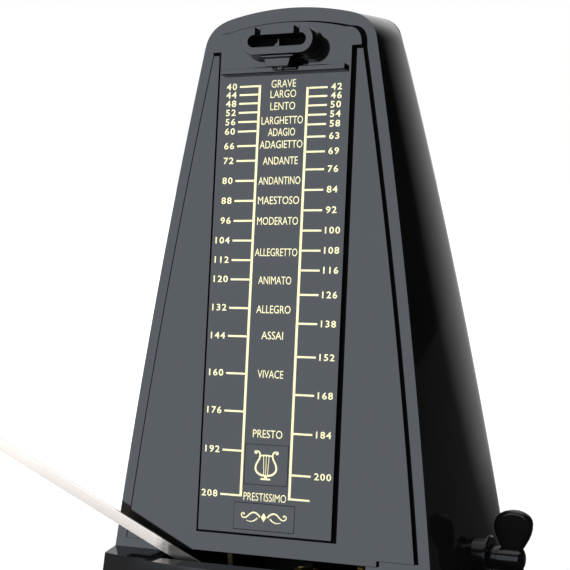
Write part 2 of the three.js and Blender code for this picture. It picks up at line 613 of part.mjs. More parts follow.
onArbor('great_wheel', gear(GREAT_TEETH, WINDING_RADIUS + FIT, GREAT.left, GREAT.right), BRASS,
  WINDING, wheelPhase(WINDING, CENTRE));

function arborWithPinion(pinionLeft, pinionRight, [low, high],
  left = LEFT_PLATE - 0.6, leftShoulder = LEFT_PLATE + PLATE_GAUGE + FIT) {
  const right = RIGHT_PLATE + PLATE_GAUGE + 0.6;
  const shoulder = [leftShoulder, RIGHT_PLATE - FIT];
  const arbor = turnedX([[0, left], [ARBOR_PIVOT, left], [ARBOR_PIVOT, shoulder[0]],
    [ARBOR_RADIUS_INSIDE, shoulder[0]], [ARBOR_RADIUS_INSIDE, shoulder[1]],
    [ARBOR_PIVOT, shoulder[1]], [ARBOR_PIVOT, right],
    [0, right]], 14);
  const leaves = gear(PINION_LEAVES, 1, pinionLeft, pinionRight);
  return join(arbor, leaves, pinX(2.2, low, high));
}

onArbor('centre_arbor', arborWithPinion(GREAT.left - 1, GREAT.right + 1,
  [CENTRE_WHEEL.left - 1.6, CENTRE_WHEEL.left - FIT]), STEEL,
CENTRE, pinionPhase(CENTRE, WINDING));
onArbor('centre_wheel', gear(CENTRE_TEETH, ARBOR_RADIUS_INSIDE + FIT, CENTRE_WHEEL.left,
  CENTRE_WHEEL.right),
  BRASS, CENTRE, wheelPhase(CENTRE, ESCAPE));
onArbor('escape_arbor', arborWithPinion(CENTRE_WHEEL.left - 1, CENTRE_WHEEL.right + 1,
  [CROWN.back + FIT, CROWN.back + 1.5], POTENCE.left + 0.2, POTENCE.right + FIT), STEEL, ESCAPE,
pinionPhase(ESCAPE, CENTRE));

// potence: carries the escape arbor's inner end between the two pallets
function potence() {
  const { left, right, half, low, foot } = POTENCE;
  const upright = block(left, right, ESCAPE.x - half, ESCAPE.x + half, low, ESCAPE.y + 2.4);
  const bar = block(LEFT_PLATE + PLATE_GAUGE + FIT, right, ESCAPE.x - half, ESCAPE.x + half,
    low, low + foot);
  const bore = pinX(ARBOR_PIVOT + FIT, left - 1, right + 1, 14).translate(0, ESCAPE.x, ESCAPE.y);
  return cut(join(upright, bar), bore);
}
piece('potence', potence(), BRASS);

// crown wheel: its saw teeth point sideways at the two pallets
function crownWheel() {
  const { radius, rim, teeth, tip, back, depth } = CROWN;
  const bore = ARBOR_RADIUS_INSIDE + FIT;
  const cup = turnedX([[bore, back], [bore, back - 1.2], [radius - rim, back - 1.2],
    [radius - rim, tip], [radius, tip], [radius, back]], teeth * 2);
  const step = 2 * Math.PI / teeth;
  const gullet = new THREE.Shape();
  const half = radius * Math.sin(step / 2);
  gullet.moveTo(-half * 0.75, -1);
  gullet.lineTo(half * 0.75, -1);
  gullet.lineTo(half * 0.35, depth);
  gullet.lineTo(-half * 0.75, depth * 0.6);
  gullet.closePath();
  const gullets = Array.from({ length: teeth }, (_, i) => extrude(gullet, 4)
    .applyMatrix4(new THREE.Matrix4().makeBasis(new THREE.Vector3(0, 1, 0),
      new THREE.Vector3(1, 0, 0), new THREE.Vector3(0, 0, -1)))
    .translate(tip, 0, radius + 1.5)
    .rotateX((i + 0.5) * step));
  return cut(cup, ...gullets);
}
onArbor('escape_wheel', crownWheel(), BRASS, ESCAPE);

// ---------------------------------------------------------------- mainspring, ratchet and key

const SPRING = { left: 25.5, right: 31.5, inner: 2.8, turns: 5, pitch: 2.3, strip: 0.5 };

function spiral() {
  const { inner, turns, pitch, strip } = SPRING;
  const steps = turns * 12;
  const at = (i, offset) => {
    const turn = i / 12;
    const radius = inner + pitch * turn + offset;
    return [radius * Math.cos(turn * 2 * Math.PI), radius * Math.sin(turn * 2 * Math.PI)];
  };
  const shape = new THREE.Shape();
  shape.moveTo(...at(0, 0));
  for (let i = 1; i <= steps; i += 1) shape.lineTo(...at(i, 0));
  for (let i = steps; i >= 0; i -= 1) shape.lineTo(...at(i, strip));
  shape.closePath();
  return shape;
}
onArbor('mainspring', sheet(spiral(), SPRING.left, SPRING.right), DARK_STEEL, WINDING);

const RATCHET = { teeth: 16, root: 5.6, tip: 7, left: RIGHT_PLATE + PLATE_GAUGE + 0.6, thick: 1.8 };
const SQUARE = 1.55;

function ratchet() {
  const shape = new THREE.Shape();
  const step = 2 * Math.PI / RATCHET.teeth;
  for (let i = 0; i < RATCHET.teeth; i += 1) {
    const at = (radius, angle) => [radius * Math.cos(angle), radius * Math.sin(angle)];
    if (i === 0) shape.moveTo(...at(RATCHET.root, 0));
    else shape.lineTo(...at(RATCHET.root, i * step));
    shape.lineTo(...at(RATCHET.tip, (i + 0.85) * step));
  }
  shape.closePath();
  shape.holes.push(rectangle(-SQUARE - FIT, SQUARE + FIT, -SQUARE - FIT, SQUARE + FIT));
  return sheet(shape, RATCHET.left, RATCHET.left + RATCHET.thick);
}
onArbor('ratchet_wheel', ratchet(), STEEL, WINDING);

function windingArbor() {
  const round = turnedX([[0, LEFT_PLATE - 0.8], [WINDING_RADIUS, LEFT_PLATE - 0.8],
    [WINDING_RADIUS, RATCHET.left - FIT], [0, RATCHET.left - FIT]], 16);
  const collar = pinX(HUB, GREAT.left - 1.6, GREAT.left - FIT);
  const square = block(RATCHET.left - 1, RATCHET.left + RATCHET.thick + 1.2,
    -SQUARE, SQUARE, -SQUARE, SQUARE);
  const neck = pinX(WINDING_RADIUS, RATCHET.left + RATCHET.thick + 0.6, shaftLeft - 1);
  const tail = block(shaftLeft - 2, shaftLeft + KEY.socketDeep - KEY.endGap, -SQUARE, SQUARE,
    -SQUARE, SQUARE);
  return join(round, collar, square, neck, tail);
}
onArbor('winding_arbor', windingArbor(), STEEL, WINDING);

// key: a hollow shaft over the arbor's square end, a hub and two rounded wings
function windingKey() {
  const { shaft, hub, span, thick, lobe, flare, neck } = KEY;
  const tube = pinX(shaft, shaftLeft, hubLeft + 1, 18);
  const boss = turnedX([[0, hubLeft], [hub, hubLeft], [hub, hubRight - 1], [hub - 1, hubRight],
    [0, hubRight]], 18);
  const crest = span + 1.2;
  const wing = new THREE.Shape();
  wing.moveTo(hubLeft + 1.6, neck);
  wing.bezierCurveTo(hubLeft + 1.4, lobe / 2, hubLeft - 1.2, lobe * 2 / 3, hubLeft - 0.6, lobe);
  wing.bezierCurveTo(hubLeft, crest, hubRight + flare, crest, hubRight + flare, lobe);
  wing.bezierCurveTo(hubRight + flare, lobe * 0.62, hubRight, lobe * 0.38, hubRight - 1.2, neck);
  wing.closePath();
  const upper = slab(wing, -thick / 2, thick / 2, 8);
  const lower = upper.clone().rotateX(Math.PI);
  const socket = block(shaftLeft - 1, shaftLeft + KEY.socketDeep,
    -SQUARE - FIT, SQUARE + FIT, -SQUARE - FIT, SQUARE + FIT);
  return cut(join(tube, boss, upper, lower), socket);
}
onArbor('winding_key', windingKey(), GLOSS_BLACK, WINDING);

// click: pivots on its stud and drops into the ratchet's teeth
function click() {
  const shape = new THREE.Shape();
  const toRatchet = Math.atan2(WINDING.y - CLICK_STUD.z, WINDING.x - CLICK_STUD.y);
  shape.moveTo(-2.2, 2.2);
  shape.quadraticCurveTo(-2.8, 0, -1.8, -2.2);
  shape.lineTo(2.8, -2.2);
  shape.lineTo(4.2, -0.4);
  shape.lineTo(2, 2.2);
  shape.closePath();
  const hole = new THREE.Path();
  hole.absarc(0, 0, CLICK_STUD.radius + FIT, 0, 2 * Math.PI, true);
  shape.holes.push(hole);
  return sheet(shape, RATCHET.left, RATCHET.left + RATCHET.thick, 8).rotateX(toRatchet);
}
const clickMesh = piece('click', click(), STEEL);
clickMesh.position.set(0, CLICK_STUD.y, CLICK_STUD.z);

const studOutline = (radius, head, reach) => [[0, RIGHT_PLATE - 0.8], [radius, RIGHT_PLATE - 0.8],
  [radius, reach], [head, reach], [head, reach + 0.9], [0, reach + 0.9]];
const clickReach = RATCHET.left + RATCHET.thick + FIT;
piece('click_stud', turnedX(studOutline(CLICK_STUD.radius, 2.1, clickReach), 14), STEEL)
  .position.set(0, CLICK_STUD.y, CLICK_STUD.z);
piece('click_spring_post', turnedX(studOutline(SPRING_POST.radius, 1.7, clickReach), 14), STEEL)
  .position.set(0, SPRING_POST.y, SPRING_POST.z);

// click spring: an eye round its post and a leaf that reaches over the click's back
function clickSpring() {
  const shape = new THREE.Shape();
  shape.absarc(0, 0, SPRING_POST.radius + FIT + 0.7, -0.3, 2 * Math.PI - 0.3, false);
  const hole = new THREE.Path();
  hole.absarc(0, 0, SPRING_POST.radius + FIT, 0, 2 * Math.PI, true);
  shape.holes.push(hole);
  const { start, end, gauge, droop } = SPRING_LEAF;
  const leaf = rectangle(start, end, -gauge / 2, gauge / 2);
  const eye = sheet(shape, RATCHET.left, RATCHET.left + RATCHET.thick, 8);
  const blade = sheet(leaf, RATCHET.left, RATCHET.left + RATCHET.thick).rotateX(-droop);
  return join(eye, blade);
}
piece('click_spring', clickSpring(), DARK_STEEL)
  .position.set(0, SPRING_POST.y, SPRING_POST.z);

// bush that lines the key's hole in the side wall
function keyBush() {
  const { inside, radius, flangeRadius } = KEY_BUSH;
  const left = keyWall - inside;
  const bore = KEY.shaft + FIT;
  return turnedX([[bore, left], [radius, left], [radius, bushFlange], [flangeRadius, bushFlange],
    [flangeRadius, bushRight], [bore, bushRight]], 20);
}
onArbor('key_bush', keyBush(), SATIN_BLACK, WINDING);

// ---------------------------------------------------------------- pendulum

// swing plane: x across, z up the upright rod, y back along the pendulum's arbor
const swingPlane = group(metronome, PIVOT.toArray(), [-SWING_LEAN, 0, 0]);
const pendulum = group(swingPlane, [0, 0, 0], [0, -SWING_STOP, 0]);
const arborY = (y) => (y - PIVOT.y) / Math.cos(SWING_LEAN);

function pendulumRod() {
  const half = ROD.thick / 2;
  const strip = block(-ROD.width / 2, ROD.width / 2, -half, half, ROD.bottom, ROD.top);
  const eye = pinY(ROD.eye, -half, half, 20);
  return cut(join(strip, eye), pinY(ARBOR_RADIUS + FIT, -2, 2, 16));
}
piece('pendulum_rod', pendulumRod(), STEEL, pendulum);

const PENDULUM_ARBOR = { front: -2, collar: 4.15, back: arborY(COCKS.rear.y + COCKS.rear.thick) + 1.2 };
function pendulumArbor() {
  const near = ROD.thick / 2 + FIT;
  const collar = ROD.thick / 2 + PENDULUM_ARBOR.collar;
  return turnedY([[0, PENDULUM_ARBOR.front], [2.4, PENDULUM_ARBOR.front], [2.4, -near],
    [ARBOR_RADIUS, -near], [ARBOR_RADIUS, near], [2.8, near], [2.8, collar], [ARBOR_RADIUS, collar],
    [ARBOR_RADIUS, PENDULUM_ARBOR.back], [0, PENDULUM_ARBOR.back]], 16);
}
piece('pendulum_arbor', pendulumArbor(), STEEL, pendulum);

// counterweight: a turned disc slotted over the rod's foot
function counterweight() {
  const { radius, front, back, drop } = BOB;
  const disc = turnedY([[0, front], [radius - 1, front], [radius, front + 1],
    [radius, back - 1], [radius - 1, back], [0, back]], 28).translate(0, 0, -drop);
  const gap = FIT + ROD.thick / 2;
  const seat = block(-ROD.width / 2 - FIT, ROD.width / 2 + FIT, -gap, gap, ROD.bottom - FIT, 0);
  return cut(disc, seat);
}
piece('counterweight', counterweight(), CAST, pendulum);

// two pallets stand on the arbor, one over each side of the crown wheel
const PALLET = { reach: 2.75, wide: 2, thick: 0.9, hub: 2.1, spread: Math.PI / 4 };
for (const [where, side] of [['front', -1], ['rear', 1]]) {
  const y = arborY(ESCAPE.x + side * (CROWN.radius - CROWN.rim / 2));
  const hub = pinY(PALLET.hub, y - PALLET.wide / 2, y + PALLET.wide / 2, 14);
  const flag = block(0, PALLET.reach, y - PALLET.wide / 2, y + PALLET.wide / 2,
    -PALLET.thick / 2, PALLET.thick / 2);
  flag.rotateY(side * PALLET.spread);
  const pallet = cut(join(hub, flag), pinY(ARBOR_RADIUS + FIT, y - 3, y + 3, 14));
  const mesh = piece(`pallet_${where}`, pallet, STEEL, pendulum);
  mesh.rotation.y = SWING_STOP;
}

// cocks: two bars from the left plate that carry the pendulum's arbor
for (const [where, cock] of Object.entries(COCKS)) {
  const foot = block(LEFT_PLATE + PLATE_GAUGE + FIT, LEFT_PLATE + PLATE_GAUGE + 2,
    cock.y, cock.y + 6, COCK.low, COCK.high);
  const bar = block(LEFT_PLATE + PLATE_GAUGE + FIT, COCK.right, cock.y, cock.y + cock.thick,
    COCK.low, COCK.high);
  const bore = pinY(ARBOR_RADIUS + FIT, -BEYOND, BEYOND, 16).rotateX(-SWING_LEAN)
    .translate(PIVOT.x, PIVOT.y, PIVOT.z);
  piece(`${where}_cock`, cut(join(foot, bar), bore), SATIN_BLACK);
}

// ---------------------------------------------------------------- sliding weight

function slidingWeight() {
  const { half, wide, narrow, front, back } = WEIGHT;
  const shape = new THREE.Shape();
  shape.moveTo(-wide / 2, half);
  shape.lineTo(-narrow / 2, -half);
  shape.lineTo(narrow / 2, -half);
  shape.lineTo(wide / 2, half);
  shape.closePath();
  const gap = ROD.thick / 2 + FIT;
  const channel = block(-ROD.width / 2 - FIT, ROD.width / 2 + FIT, -gap, gap, -2 * half, 2 * half);
  const pocket = block(-ROD.width / 2, ROD.width / 2, -gap - 1.5, 0, -half + 2, half - 2);
  return cut(slab(shape, front, back), channel, pocket);
}
const riding = group(pendulum, [0, 0, WEIGHT.rest]);
piece('sliding_weight', slidingWeight(), STEEL, riding);

const leaf = new THREE.Shape();
leaf.moveTo(-1.35, -WEIGHT.half + 2.4);
leaf.lineTo(-1.05, -WEIGHT.half + 2.4);
leaf.quadraticCurveTo(-0.5, 0, -1.05, WEIGHT.half - 2.4);
leaf.lineTo(-1.35, WEIGHT.half - 2.4);
leaf.quadraticCurveTo(-0.8, 0, -1.35, -WEIGHT.half + 2.4);
piece('weight_spring', sheet(leaf, -1.3, 1.3, 6).translate(0, -0.6, 0), BRASS, riding);

export default metronome;
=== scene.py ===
import json
import math

import bmesh
import bpy
from mathutils import Matrix, Vector


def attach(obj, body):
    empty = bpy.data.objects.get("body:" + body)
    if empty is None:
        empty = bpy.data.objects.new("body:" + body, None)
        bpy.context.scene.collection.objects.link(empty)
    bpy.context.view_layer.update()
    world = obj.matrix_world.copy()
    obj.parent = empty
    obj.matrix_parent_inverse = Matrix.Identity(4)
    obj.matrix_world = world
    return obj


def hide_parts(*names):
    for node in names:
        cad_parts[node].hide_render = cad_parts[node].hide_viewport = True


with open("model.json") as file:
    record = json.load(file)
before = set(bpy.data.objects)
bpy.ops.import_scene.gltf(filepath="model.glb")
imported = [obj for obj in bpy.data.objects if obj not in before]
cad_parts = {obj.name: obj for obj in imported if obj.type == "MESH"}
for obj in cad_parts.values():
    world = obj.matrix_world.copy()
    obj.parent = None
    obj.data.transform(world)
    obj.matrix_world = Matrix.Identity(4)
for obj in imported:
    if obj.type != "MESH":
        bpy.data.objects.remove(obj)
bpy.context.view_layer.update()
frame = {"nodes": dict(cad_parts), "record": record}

# ------------------------------------------------------------ sizes, in millimetres

MM = 0.001

MERGE = 1e-4                  # points nearer than this become one
QUARTER = math.radians(90)
UPRIGHT = Matrix.Rotation(QUARTER, 4, "X")       # stands a flat drawing up to face -Y

SCALE_HEIGHT = 123.8          # the scale's origin on the face
SCALE_DEPTH = -25.7
LEAN = math.radians(10.1)     # the face leans back
HALF_WIDTH = 41.1             # half sizes at the scale's origin, and how they shrink upwards
WIDTH_TAPER = 0.144
HALF_DEPTH = 39.25
DEPTH_TAPER = 0.17
SIDE_BOW = 0.00026
PLAN_SIDE = 48.4              # the plan before it is stretched to each height's sizes
PLAN_DEPTH = 42.3
PLAN_FRONT_BULGE = 6.7
PLAN_SIDE_BULGE = 3.0
BACK_EDGE_RADIUS = 8
LEDGE_HEIGHT = 60.3           # top of the lower box
CROWN = 217.5                 # the top of the case
CROWN_HALF = 26.3             # half width of the arched top, corners included
CROWN_RADIUS = 80
CROWN_CORNER = 7.5
SHOULDER = 207.0              # where the arch's corners meet the side walls
FIT = 0.3                     # gap between neighbours
WALL = 2.4                    # the moulding's thickness
MOULD_EDGE = 0.7              # rounding of the moulded outer edges

FRAME_FACE = 2.35             # depths behind the scale plate's face: the frame, the panel
PANEL_FACE = 1.2
FRAME_BAND = 3.95             # width of the frame round the panel
PANEL_LAP = 3.6               # how far the panel's edge covers the frame round the window
PANEL_BACK = 2.2              # the panel's body reaches this far behind the frame
JOINT_WIDE = 0.85             # shadow line round the panel
JOINT_DEEP = 0.7
FACE_EDGE = 0.14              # rounding of the panel's and the plate's front edges
PANEL_BOTTOM = 61.8
PLATE_HALF = 20.7             # heights of the plate run up the slope from the scale's origin
PLATE_LOW = -56.8
PLATE_SHOULDER = 82.9
PLATE_THICK = 1.2
PLATE_GROOVE = 1.1            # dark line at the plate's sides
PLATE_GAP = 0.7               # the same line under the plate and its shoulders
HEAD_TOP = 90.7               # the plate's wide, arched upper end
HEAD_RADIUS = 75
HEAD_CORNER = 5
PANEL_STEP_HALF = 34          # outside this the panel's lower edge is raised
PANEL_STEP_RISE = 1.6
RIB_HALF = 19.5               # the rib across the plate above the scale
RIB_PROUD = 2
RIB_LOW = 75.65
RIB_HIGH = 77.35

RAIL_X = 7.58                 # the printed scale: two rails with ticks on their outer sides
RAIL_WIDE = 0.75
TICK_END = {-1: 14.05, 1: 13.8}        # left and right, from the middle
TICK_THICK = 0.55
NUMBER_X = {-1: -15.0, 1: 14.9}        # each column of numbers starts here, going outwards
END_TICK_DROP = 0.4           # how much lower the last pair of ticks is printed
PRINT_PROUD = 0.03            # the print stands this far out of the plate, and sinks this far in
PRINT_DEEP = 0.06
CAP_SHARE = 0.72              # a capital's height in the lettering's own size
DIGIT_TALL = 1.92             # numbers: height, then stretch, spacing and boldness
DIGIT_WIDE = 1.15
DIGIT_SPACING = 1.2
DIGIT_WEIGHT = 0.045
WORD_WEIGHT = 0.001
WORD_TALL = 2.33
WORD_WIDE = 0.97              # share of the widths listed below
LEFT_TEMPOS = [*range(40, 60, 4), *range(60, 72, 6), *range(72, 120, 8), *range(120, 144, 12),
               *range(144, 209, 16)]
RIGHT_TEMPOS = [*range(42, 60, 4), *range(63, 75, 6), *range(76, 116, 8), *range(116, 126, 10),
                *range(126, 150, 12), *range(152, 201, 16)]
# each word with the tempo whose height it stands at and its own width
TEMPO_WORDS = {"GRAVE": (39.5, 8.0), "LARGO": (44.4, 8.4), "LENTO": (49.9, 8.1),
               "LARGHETTO": (56, 13.5), "ADAGIO": (60.9, 8.8), "ADAGIETTO": (65.9, 13.9),
               "ANDANTE": (72.4, 11.3), "ANDANTINO": (80.3, 13.6), "MAESTOSO": (88.1, 13.4),
               "MODERATO": (96.3, 13.3), "ALLEGRETTO": (108.9, 13.75), "ANIMATO": (120.4, 10.7),
               "ALLEGRO": (132.5, 11.1), "ASSAI": (143.5, 7.0), "VIVACE": (160, 8.3),
               "PRESTO": (184.9, 9.5), "PRESTISSIMO": (208.7, 13.7)}

# the two badges let into the plate: half width, bottom and top
EMBLEM = (6.7, -42.8, -31.5)
BADGE = (9.4, -55.7, -48.2)
INLAY_FRONT = -0.1
GILT_FRONT = -0.16
GILT_BACK = -0.05

CATCH_HEIGHT = 84.4           # up the slope from the scale's origin
CATCH_HALF = 11.35            # the ring's half width, height and wall
CATCH_TALL = 8.1
CATCH_WALL = 2.3
CATCH_DROP = 0.45             # the ring's middle below the catch's own
CATCH_PROUD = 6.5
CATCH_SEAT = -0.35            # the backs of the tongue and the lug, just off the plate
CATCH_FLOOR = 1.5
CATCH_NOTCH = 6.1             # the two notches that free the tab, from the middle
CATCH_NOTCH_WIDE = 1.6
CATCH_NOTCH_DEEP = 4.5
CATCH_SPIKE = 0.75            # the hook's tip above the ring's middle
WEDGE_FRONT = -5.9            # the hook's two parts
SPIKE_FRONT = -5.95
TONGUE_HIGH = -4.6            # heights from the catch's middle
TONGUE_LOW = -7.9
TONGUE_PROUD = 5.6
LUG_LEFT = -2.9               # the block under the tongue, which the screw goes through
LUG_RIGHT = 4.7
LUG_LOW = -8.1
LUG_PROUD = 2.6

ROD_WIDE = 3.4
ROD_THICK = 0.9
ROD_TOP = 157                 # heights from the pivot
ROD_LOW = -42
ROD_EYE = 4                   # radius of the eye at the pivot, and of its bore
ROD_BORE = 1.55
ROD_EDGE = 0.12
WEIGHT_REST = 148.6           # from the pivot
WEIGHT_HALF = 7.1             # half height, then the widths of the top and the bottom
WEIGHT_WIDE = 17.5
WEIGHT_NARROW = 13
WEIGHT_FRONT = -3.4
WEIGHT_BACK = 1.5

KEY_BUSH_RADIUS = 5           # left and right ends are places along X
KEY_BUSH_FLANGE = 6.2
KEY_BUSH_LEFT = 48
KEY_BUSH_SEAT = 55.2
KEY_BUSH_RIGHT = 56.2
KEY_SHAFT = 3.2
KEY_SHAFT_CORE = 1.9
KEY_SHAFT_LEFT = 47
KEY_HUB = 3.4
KEY_HUB_LEFT = 58
KEY_HUB_RIGHT = 66
KEY_SPAN = 14.5
KEY_THICK = 3.2
KEY_LOBE = 10.5               # a wing's height where it is widest
KEY_FLARE = 2.6
KEY_NECK = 1.5

FLOOR = -2.5                  # what the feet stand on
FOOT_PLACE = (40, 32)         # from the middle, to the side and to the front or back
COVER_SCREW_PLACE = (48, 41)

GRAVITY = 9810                # what fixes the ticks: gravity and the pendulum's two weights
BOB_MOMENT = 153.89           # in mm, over the sliding weight's mass
ROD_SPREAD = 10383            # in mm^2, over the same mass
SCALE_REACH = 68.17           # pivot to the scale's origin

SWING_LEAN = math.radians(4)  # the pendulum's plane leans back
PIVOT = (0, -39.3, 48.8)
SLOT_HALF = 30.5              # the slot that the rod swings in
SLOT_RISE = LEDGE_HEIGHT - PIVOT[2]
SLOT_GAP = 0.6                # between the rod and the slot's end, where its swing stops
SWING_STOP = (math.acos((ROD_WIDE / 2 + SLOT_GAP) / math.hypot(SLOT_HALF, SLOT_RISE))
              - math.atan2(SLOT_RISE, SLOT_HALF))
SLOT_FRONT = -42.5
SLOT_TOP = 62.4
WINDING = (0, 0, 57)

FACE = Matrix.Translation((0, SCALE_DEPTH, SCALE_HEIGHT)) @ Matrix.Rotation(-LEAN, 4, "X")
PENDULUM = (Matrix.Translation(PIVOT) @ Matrix.Rotation(-SWING_LEAN, 4, "X")
            @ Matrix.Rotation(-SWING_STOP, 4, "Y"))


# ------------------------------------------------------------ shader helpers

class Signal:
    """One shader output; arithmetic on it adds Math nodes."""

    def __init__(self, finish, socket):
        self.finish = finish
        self.socket = socket

    def math(self, operation, first, second):
        return self.finish.node("Math", {"operation": operation}, {0: first, 1: second})

    def __add__(self, other):
        return self.math("ADD", self, other)

    def __radd__(self, other):
        return self.math("ADD", other, self)

    def __mul__(self, other):
        return self.math("MULTIPLY", self, other)

    def __rmul__(self, other):
        return self.math("MULTIPLY", other, self)


class Surround:
    """A node tree: node() adds any node and returns one of its outputs."""

    def __init__(self, tree):
        self.tree = tree

    def node(self, kind, settings=None, sockets=None, output=0):
        made = self.tree.nodes.new("ShaderNode" + kind)
        for setting, value in (settings or {}).items():
            setattr(made, setting, value)
        for socket, value in (sockets or {}).items():
            self.feed(made.inputs[socket], value)
        return None if output is None else Signal(self, made.outputs[output])

    def feed(self, socket, value):
        if isinstance(value, Signal):
            self.tree.links.new(value.socket, socket)
        else:
            socket.default_value = value

    def level(self, signal, low, high, floor, ceiling):
        """Maps low..high of a signal onto floor..ceiling."""
        return self.node("MapRange", {"clamp": True}, {"Value": signal, "From Min": low,
                         "From Max": high, "To Min": floor, "To Max": ceiling})


class Finish(Surround):
    """A node material for one finish, its patterns laid out in object space."""

    def __init__(self, name, constants=None):
        self.material = bpy.data.materials.new(name)
        self.material.use_nodes = True
        super().__init__(self.material.node_tree)
        self.shader = self.tree.nodes["Principled BSDF"]
        for socket, value in (constants or {}).items():
            self.shader.inputs[socket].default_value = value
        self.place = self.node("TexCoord", output="Object")

    def use(self, socket, value):
        self.feed(self.shader.inputs[socket], value)

    def stretched(self, scale):
        """Object space scaled along its axes, for patterns drawn out in one direction."""
        return self.node("Mapping", {}, {"Vector": self.place, "Scale": scale})

    def noise(self, size, detail=3.0, roughness=0.5, vector=None):
        """Noise whose cells are about size millimetres."""
        return self.node("TexNoise", {}, {"Vector": vector or self.place, "Scale": 1 / (size * MM),
                                          "Detail": detail, "Roughness": roughness}, "Fac")

    def tint(self, factor, first, second):
        """Mixes two colours, each an RGB triple or a signal."""
        first, second = (colour if isinstance(colour, Signal) else (*colour, 1)
                         for colour in (first, second))
        return self.node("Mix", {"data_type": "RGBA"}, {"Factor": factor, 6: first, 7: second}, 2)

    def bump(self, height, strength, distance):
        self.use("Normal", self.node("Bump", {}, {"Strength": strength, "Distance": distance * MM,
                                                  "Height": height}))


# ------------------------------------------------------------ finishes

NOISE_SPAN = (0.3, 0.7)       # where most of a noise's values lie


def gloss_black(name, shade=0.0035, roughness=0.05, ripple=0.010, ripple_size=11, shine=0.5):
    """Moulded black plastic: polished skin, faint sink ripple, hairlines and a little dust."""
    finish = Finish(name, {"IOR": 1.5, "Specular IOR Level": shine})
    ripple_height = finish.noise(ripple_size, 2)
    hair = finish.noise(0.35, 2, vector=finish.stretched((1, 1, 0.06)))
    hairline = finish.level(hair, 0.66, 0.74, 0, 1)
    haze = finish.noise(26, 4, 0.6)
    dust = finish.level(finish.noise(0.8, 1), 0.74, 0.78, 0, 1)
    finish.use("Base Color", finish.tint(dust * 0.25 + finish.level(haze, *NOISE_SPAN, 0, 0.4),
                                         (shade,) * 3, (shade * 2.2,) * 3))
    finish.use("Roughness", finish.level(haze, 0.3, 0.75, roughness, roughness + 0.045)
               + hairline * 0.02 + dust * 0.12)
    finish.bump(ripple_height + hairline * 0.002, 1.0, ripple)
    return finish.material


def satin_black(name):
    """Plain black plastic with a fine moulded grain."""
    finish = Finish(name)
    grain = finish.noise(0.35, 4, 0.6)
    cloud = finish.noise(14, 3)
    finish.use("Base Color", finish.tint(cloud, (0.010, 0.010, 0.011), (0.022, 0.022, 0.023)))
    finish.use("Roughness", finish.level(cloud, *NOISE_SPAN, 0.38, 0.52))
    finish.bump(grain, 0.5, 0.03)
    return finish.material


def hollow_black(name):
    """A dead matt black that gives back next to nothing: painted shade for gaps and hollows."""
    finish = Finish(name, {"Specular IOR Level": 0.08})
    cloud = finish.noise(2, 3)
    finish.use("Base Color", finish.tint(cloud, (0.002, 0.002, 0.002), (0.004, 0.004, 0.004)))
    finish.use("Roughness", finish.level(cloud, *NOISE_SPAN, 0.8, 0.95))
    finish.bump(cloud, 0.3, 0.02)
    return finish.material


def rubber_black(name):
    """Black rubber, scuffed grey in places."""
    finish = Finish(name)
    grain = finish.noise(0.5, 5, 0.7)
    scuff = finish.level(finish.noise(3, 4, 0.7), 0.55, 0.75, 0, 1)
    finish.use("Base Color", finish.tint(scuff, (0.012, 0.012, 0.012), (0.05, 0.05, 0.048)))
    finish.use("Roughness", finish.level(grain, *NOISE_SPAN, 0.7, 0.92))
    finish.bump(grain, 0.6, 0.06)
    return finish.material


def gold_print(name):
    """Pale gold ink, thinner where it is worn."""
    finish = Finish(name)
    cover = finish.noise(0.5, 4, 0.6)
    drift = finish.noise(30, 2)
    worn = finish.level(cover, 0.28, 0.42, 1, 0)
    finish.use("Base Color", finish.tint(worn * 0.5 + finish.level(drift, *NOISE_SPAN, 0, 0.25),
                                         (0.97, 0.87, 0.50), (0.80, 0.66, 0.28)))
    finish.use("Roughness", finish.level(cover, *NOISE_SPAN, 0.34, 0.5))
    finish.use("Metallic", 0.25)
    finish.bump(cover, 0.3, 0.01)
    return finish.material


# painted shade: the colour that darkens a metal round a place, standing for the dark ledge it
# reflects
PAINTED_SHADE_COLOUR = (0.03, 0.03, 0.028)


def metal(name, pale, dark, roughness, grain_scale=(1, 1, 1), grain=0.25, stain=4, painted_shade_at=None):
    """Worked metal: grain stretched along its last cut, with slow stains in the colour.

    The last argument gives a place in millimetres round which painted shade darkens the metal, and
    how far.
    """
    finish = Finish(name)
    finish.use("Metallic", 1.0)
    line = finish.noise(grain, 4, 0.6, finish.stretched(grain_scale))
    slow = finish.noise(stain, 3, 0.55)
    colour = finish.tint(slow, pale, dark)
    # painted shade round the given place, its edge broken by noise
    if painted_shade_at:
        place, reach = painted_shade_at
        away = finish.node("VectorMath", {"operation": "DISTANCE"},
                           {0: finish.place, 1: Vector(place) * MM}, "Value")
        shade_edge_noise = finish.noise(1.5, 5, 0.7) * 8 * MM
        shade_patch = finish.level(away + shade_edge_noise, (reach + 2) * MM, (reach + 8) * MM, 0.92, 0)
        colour = finish.tint(shade_patch, colour, PAINTED_SHADE_COLOUR)
    finish.use("Base Color", colour)
    finish.use("Roughness", finish.level(line, *NOISE_SPAN, roughness * 0.8, roughness * 1.25)
               + slow * 0.06)
    finish.bump(line, 0.4, 0.006)
    return finish.material


def cast_iron(name):
    """Sand-cast iron, rough as it left the mould."""
    finish = Finish(name)
    finish.use("Metallic", 1.0)
    sand = finish.noise(0.9, 6, 0.75)
    slow = finish.noise(6, 3)
    finish.use("Base Color", finish.tint(slow, (0.20, 0.20, 0.20), (0.10, 0.095, 0.09)))
    finish.use("Roughness", finish.level(sand, *NOISE_SPAN, 0.5, 0.75))
    finish.bump(sand, 0.7, 0.15)
    return finish.material


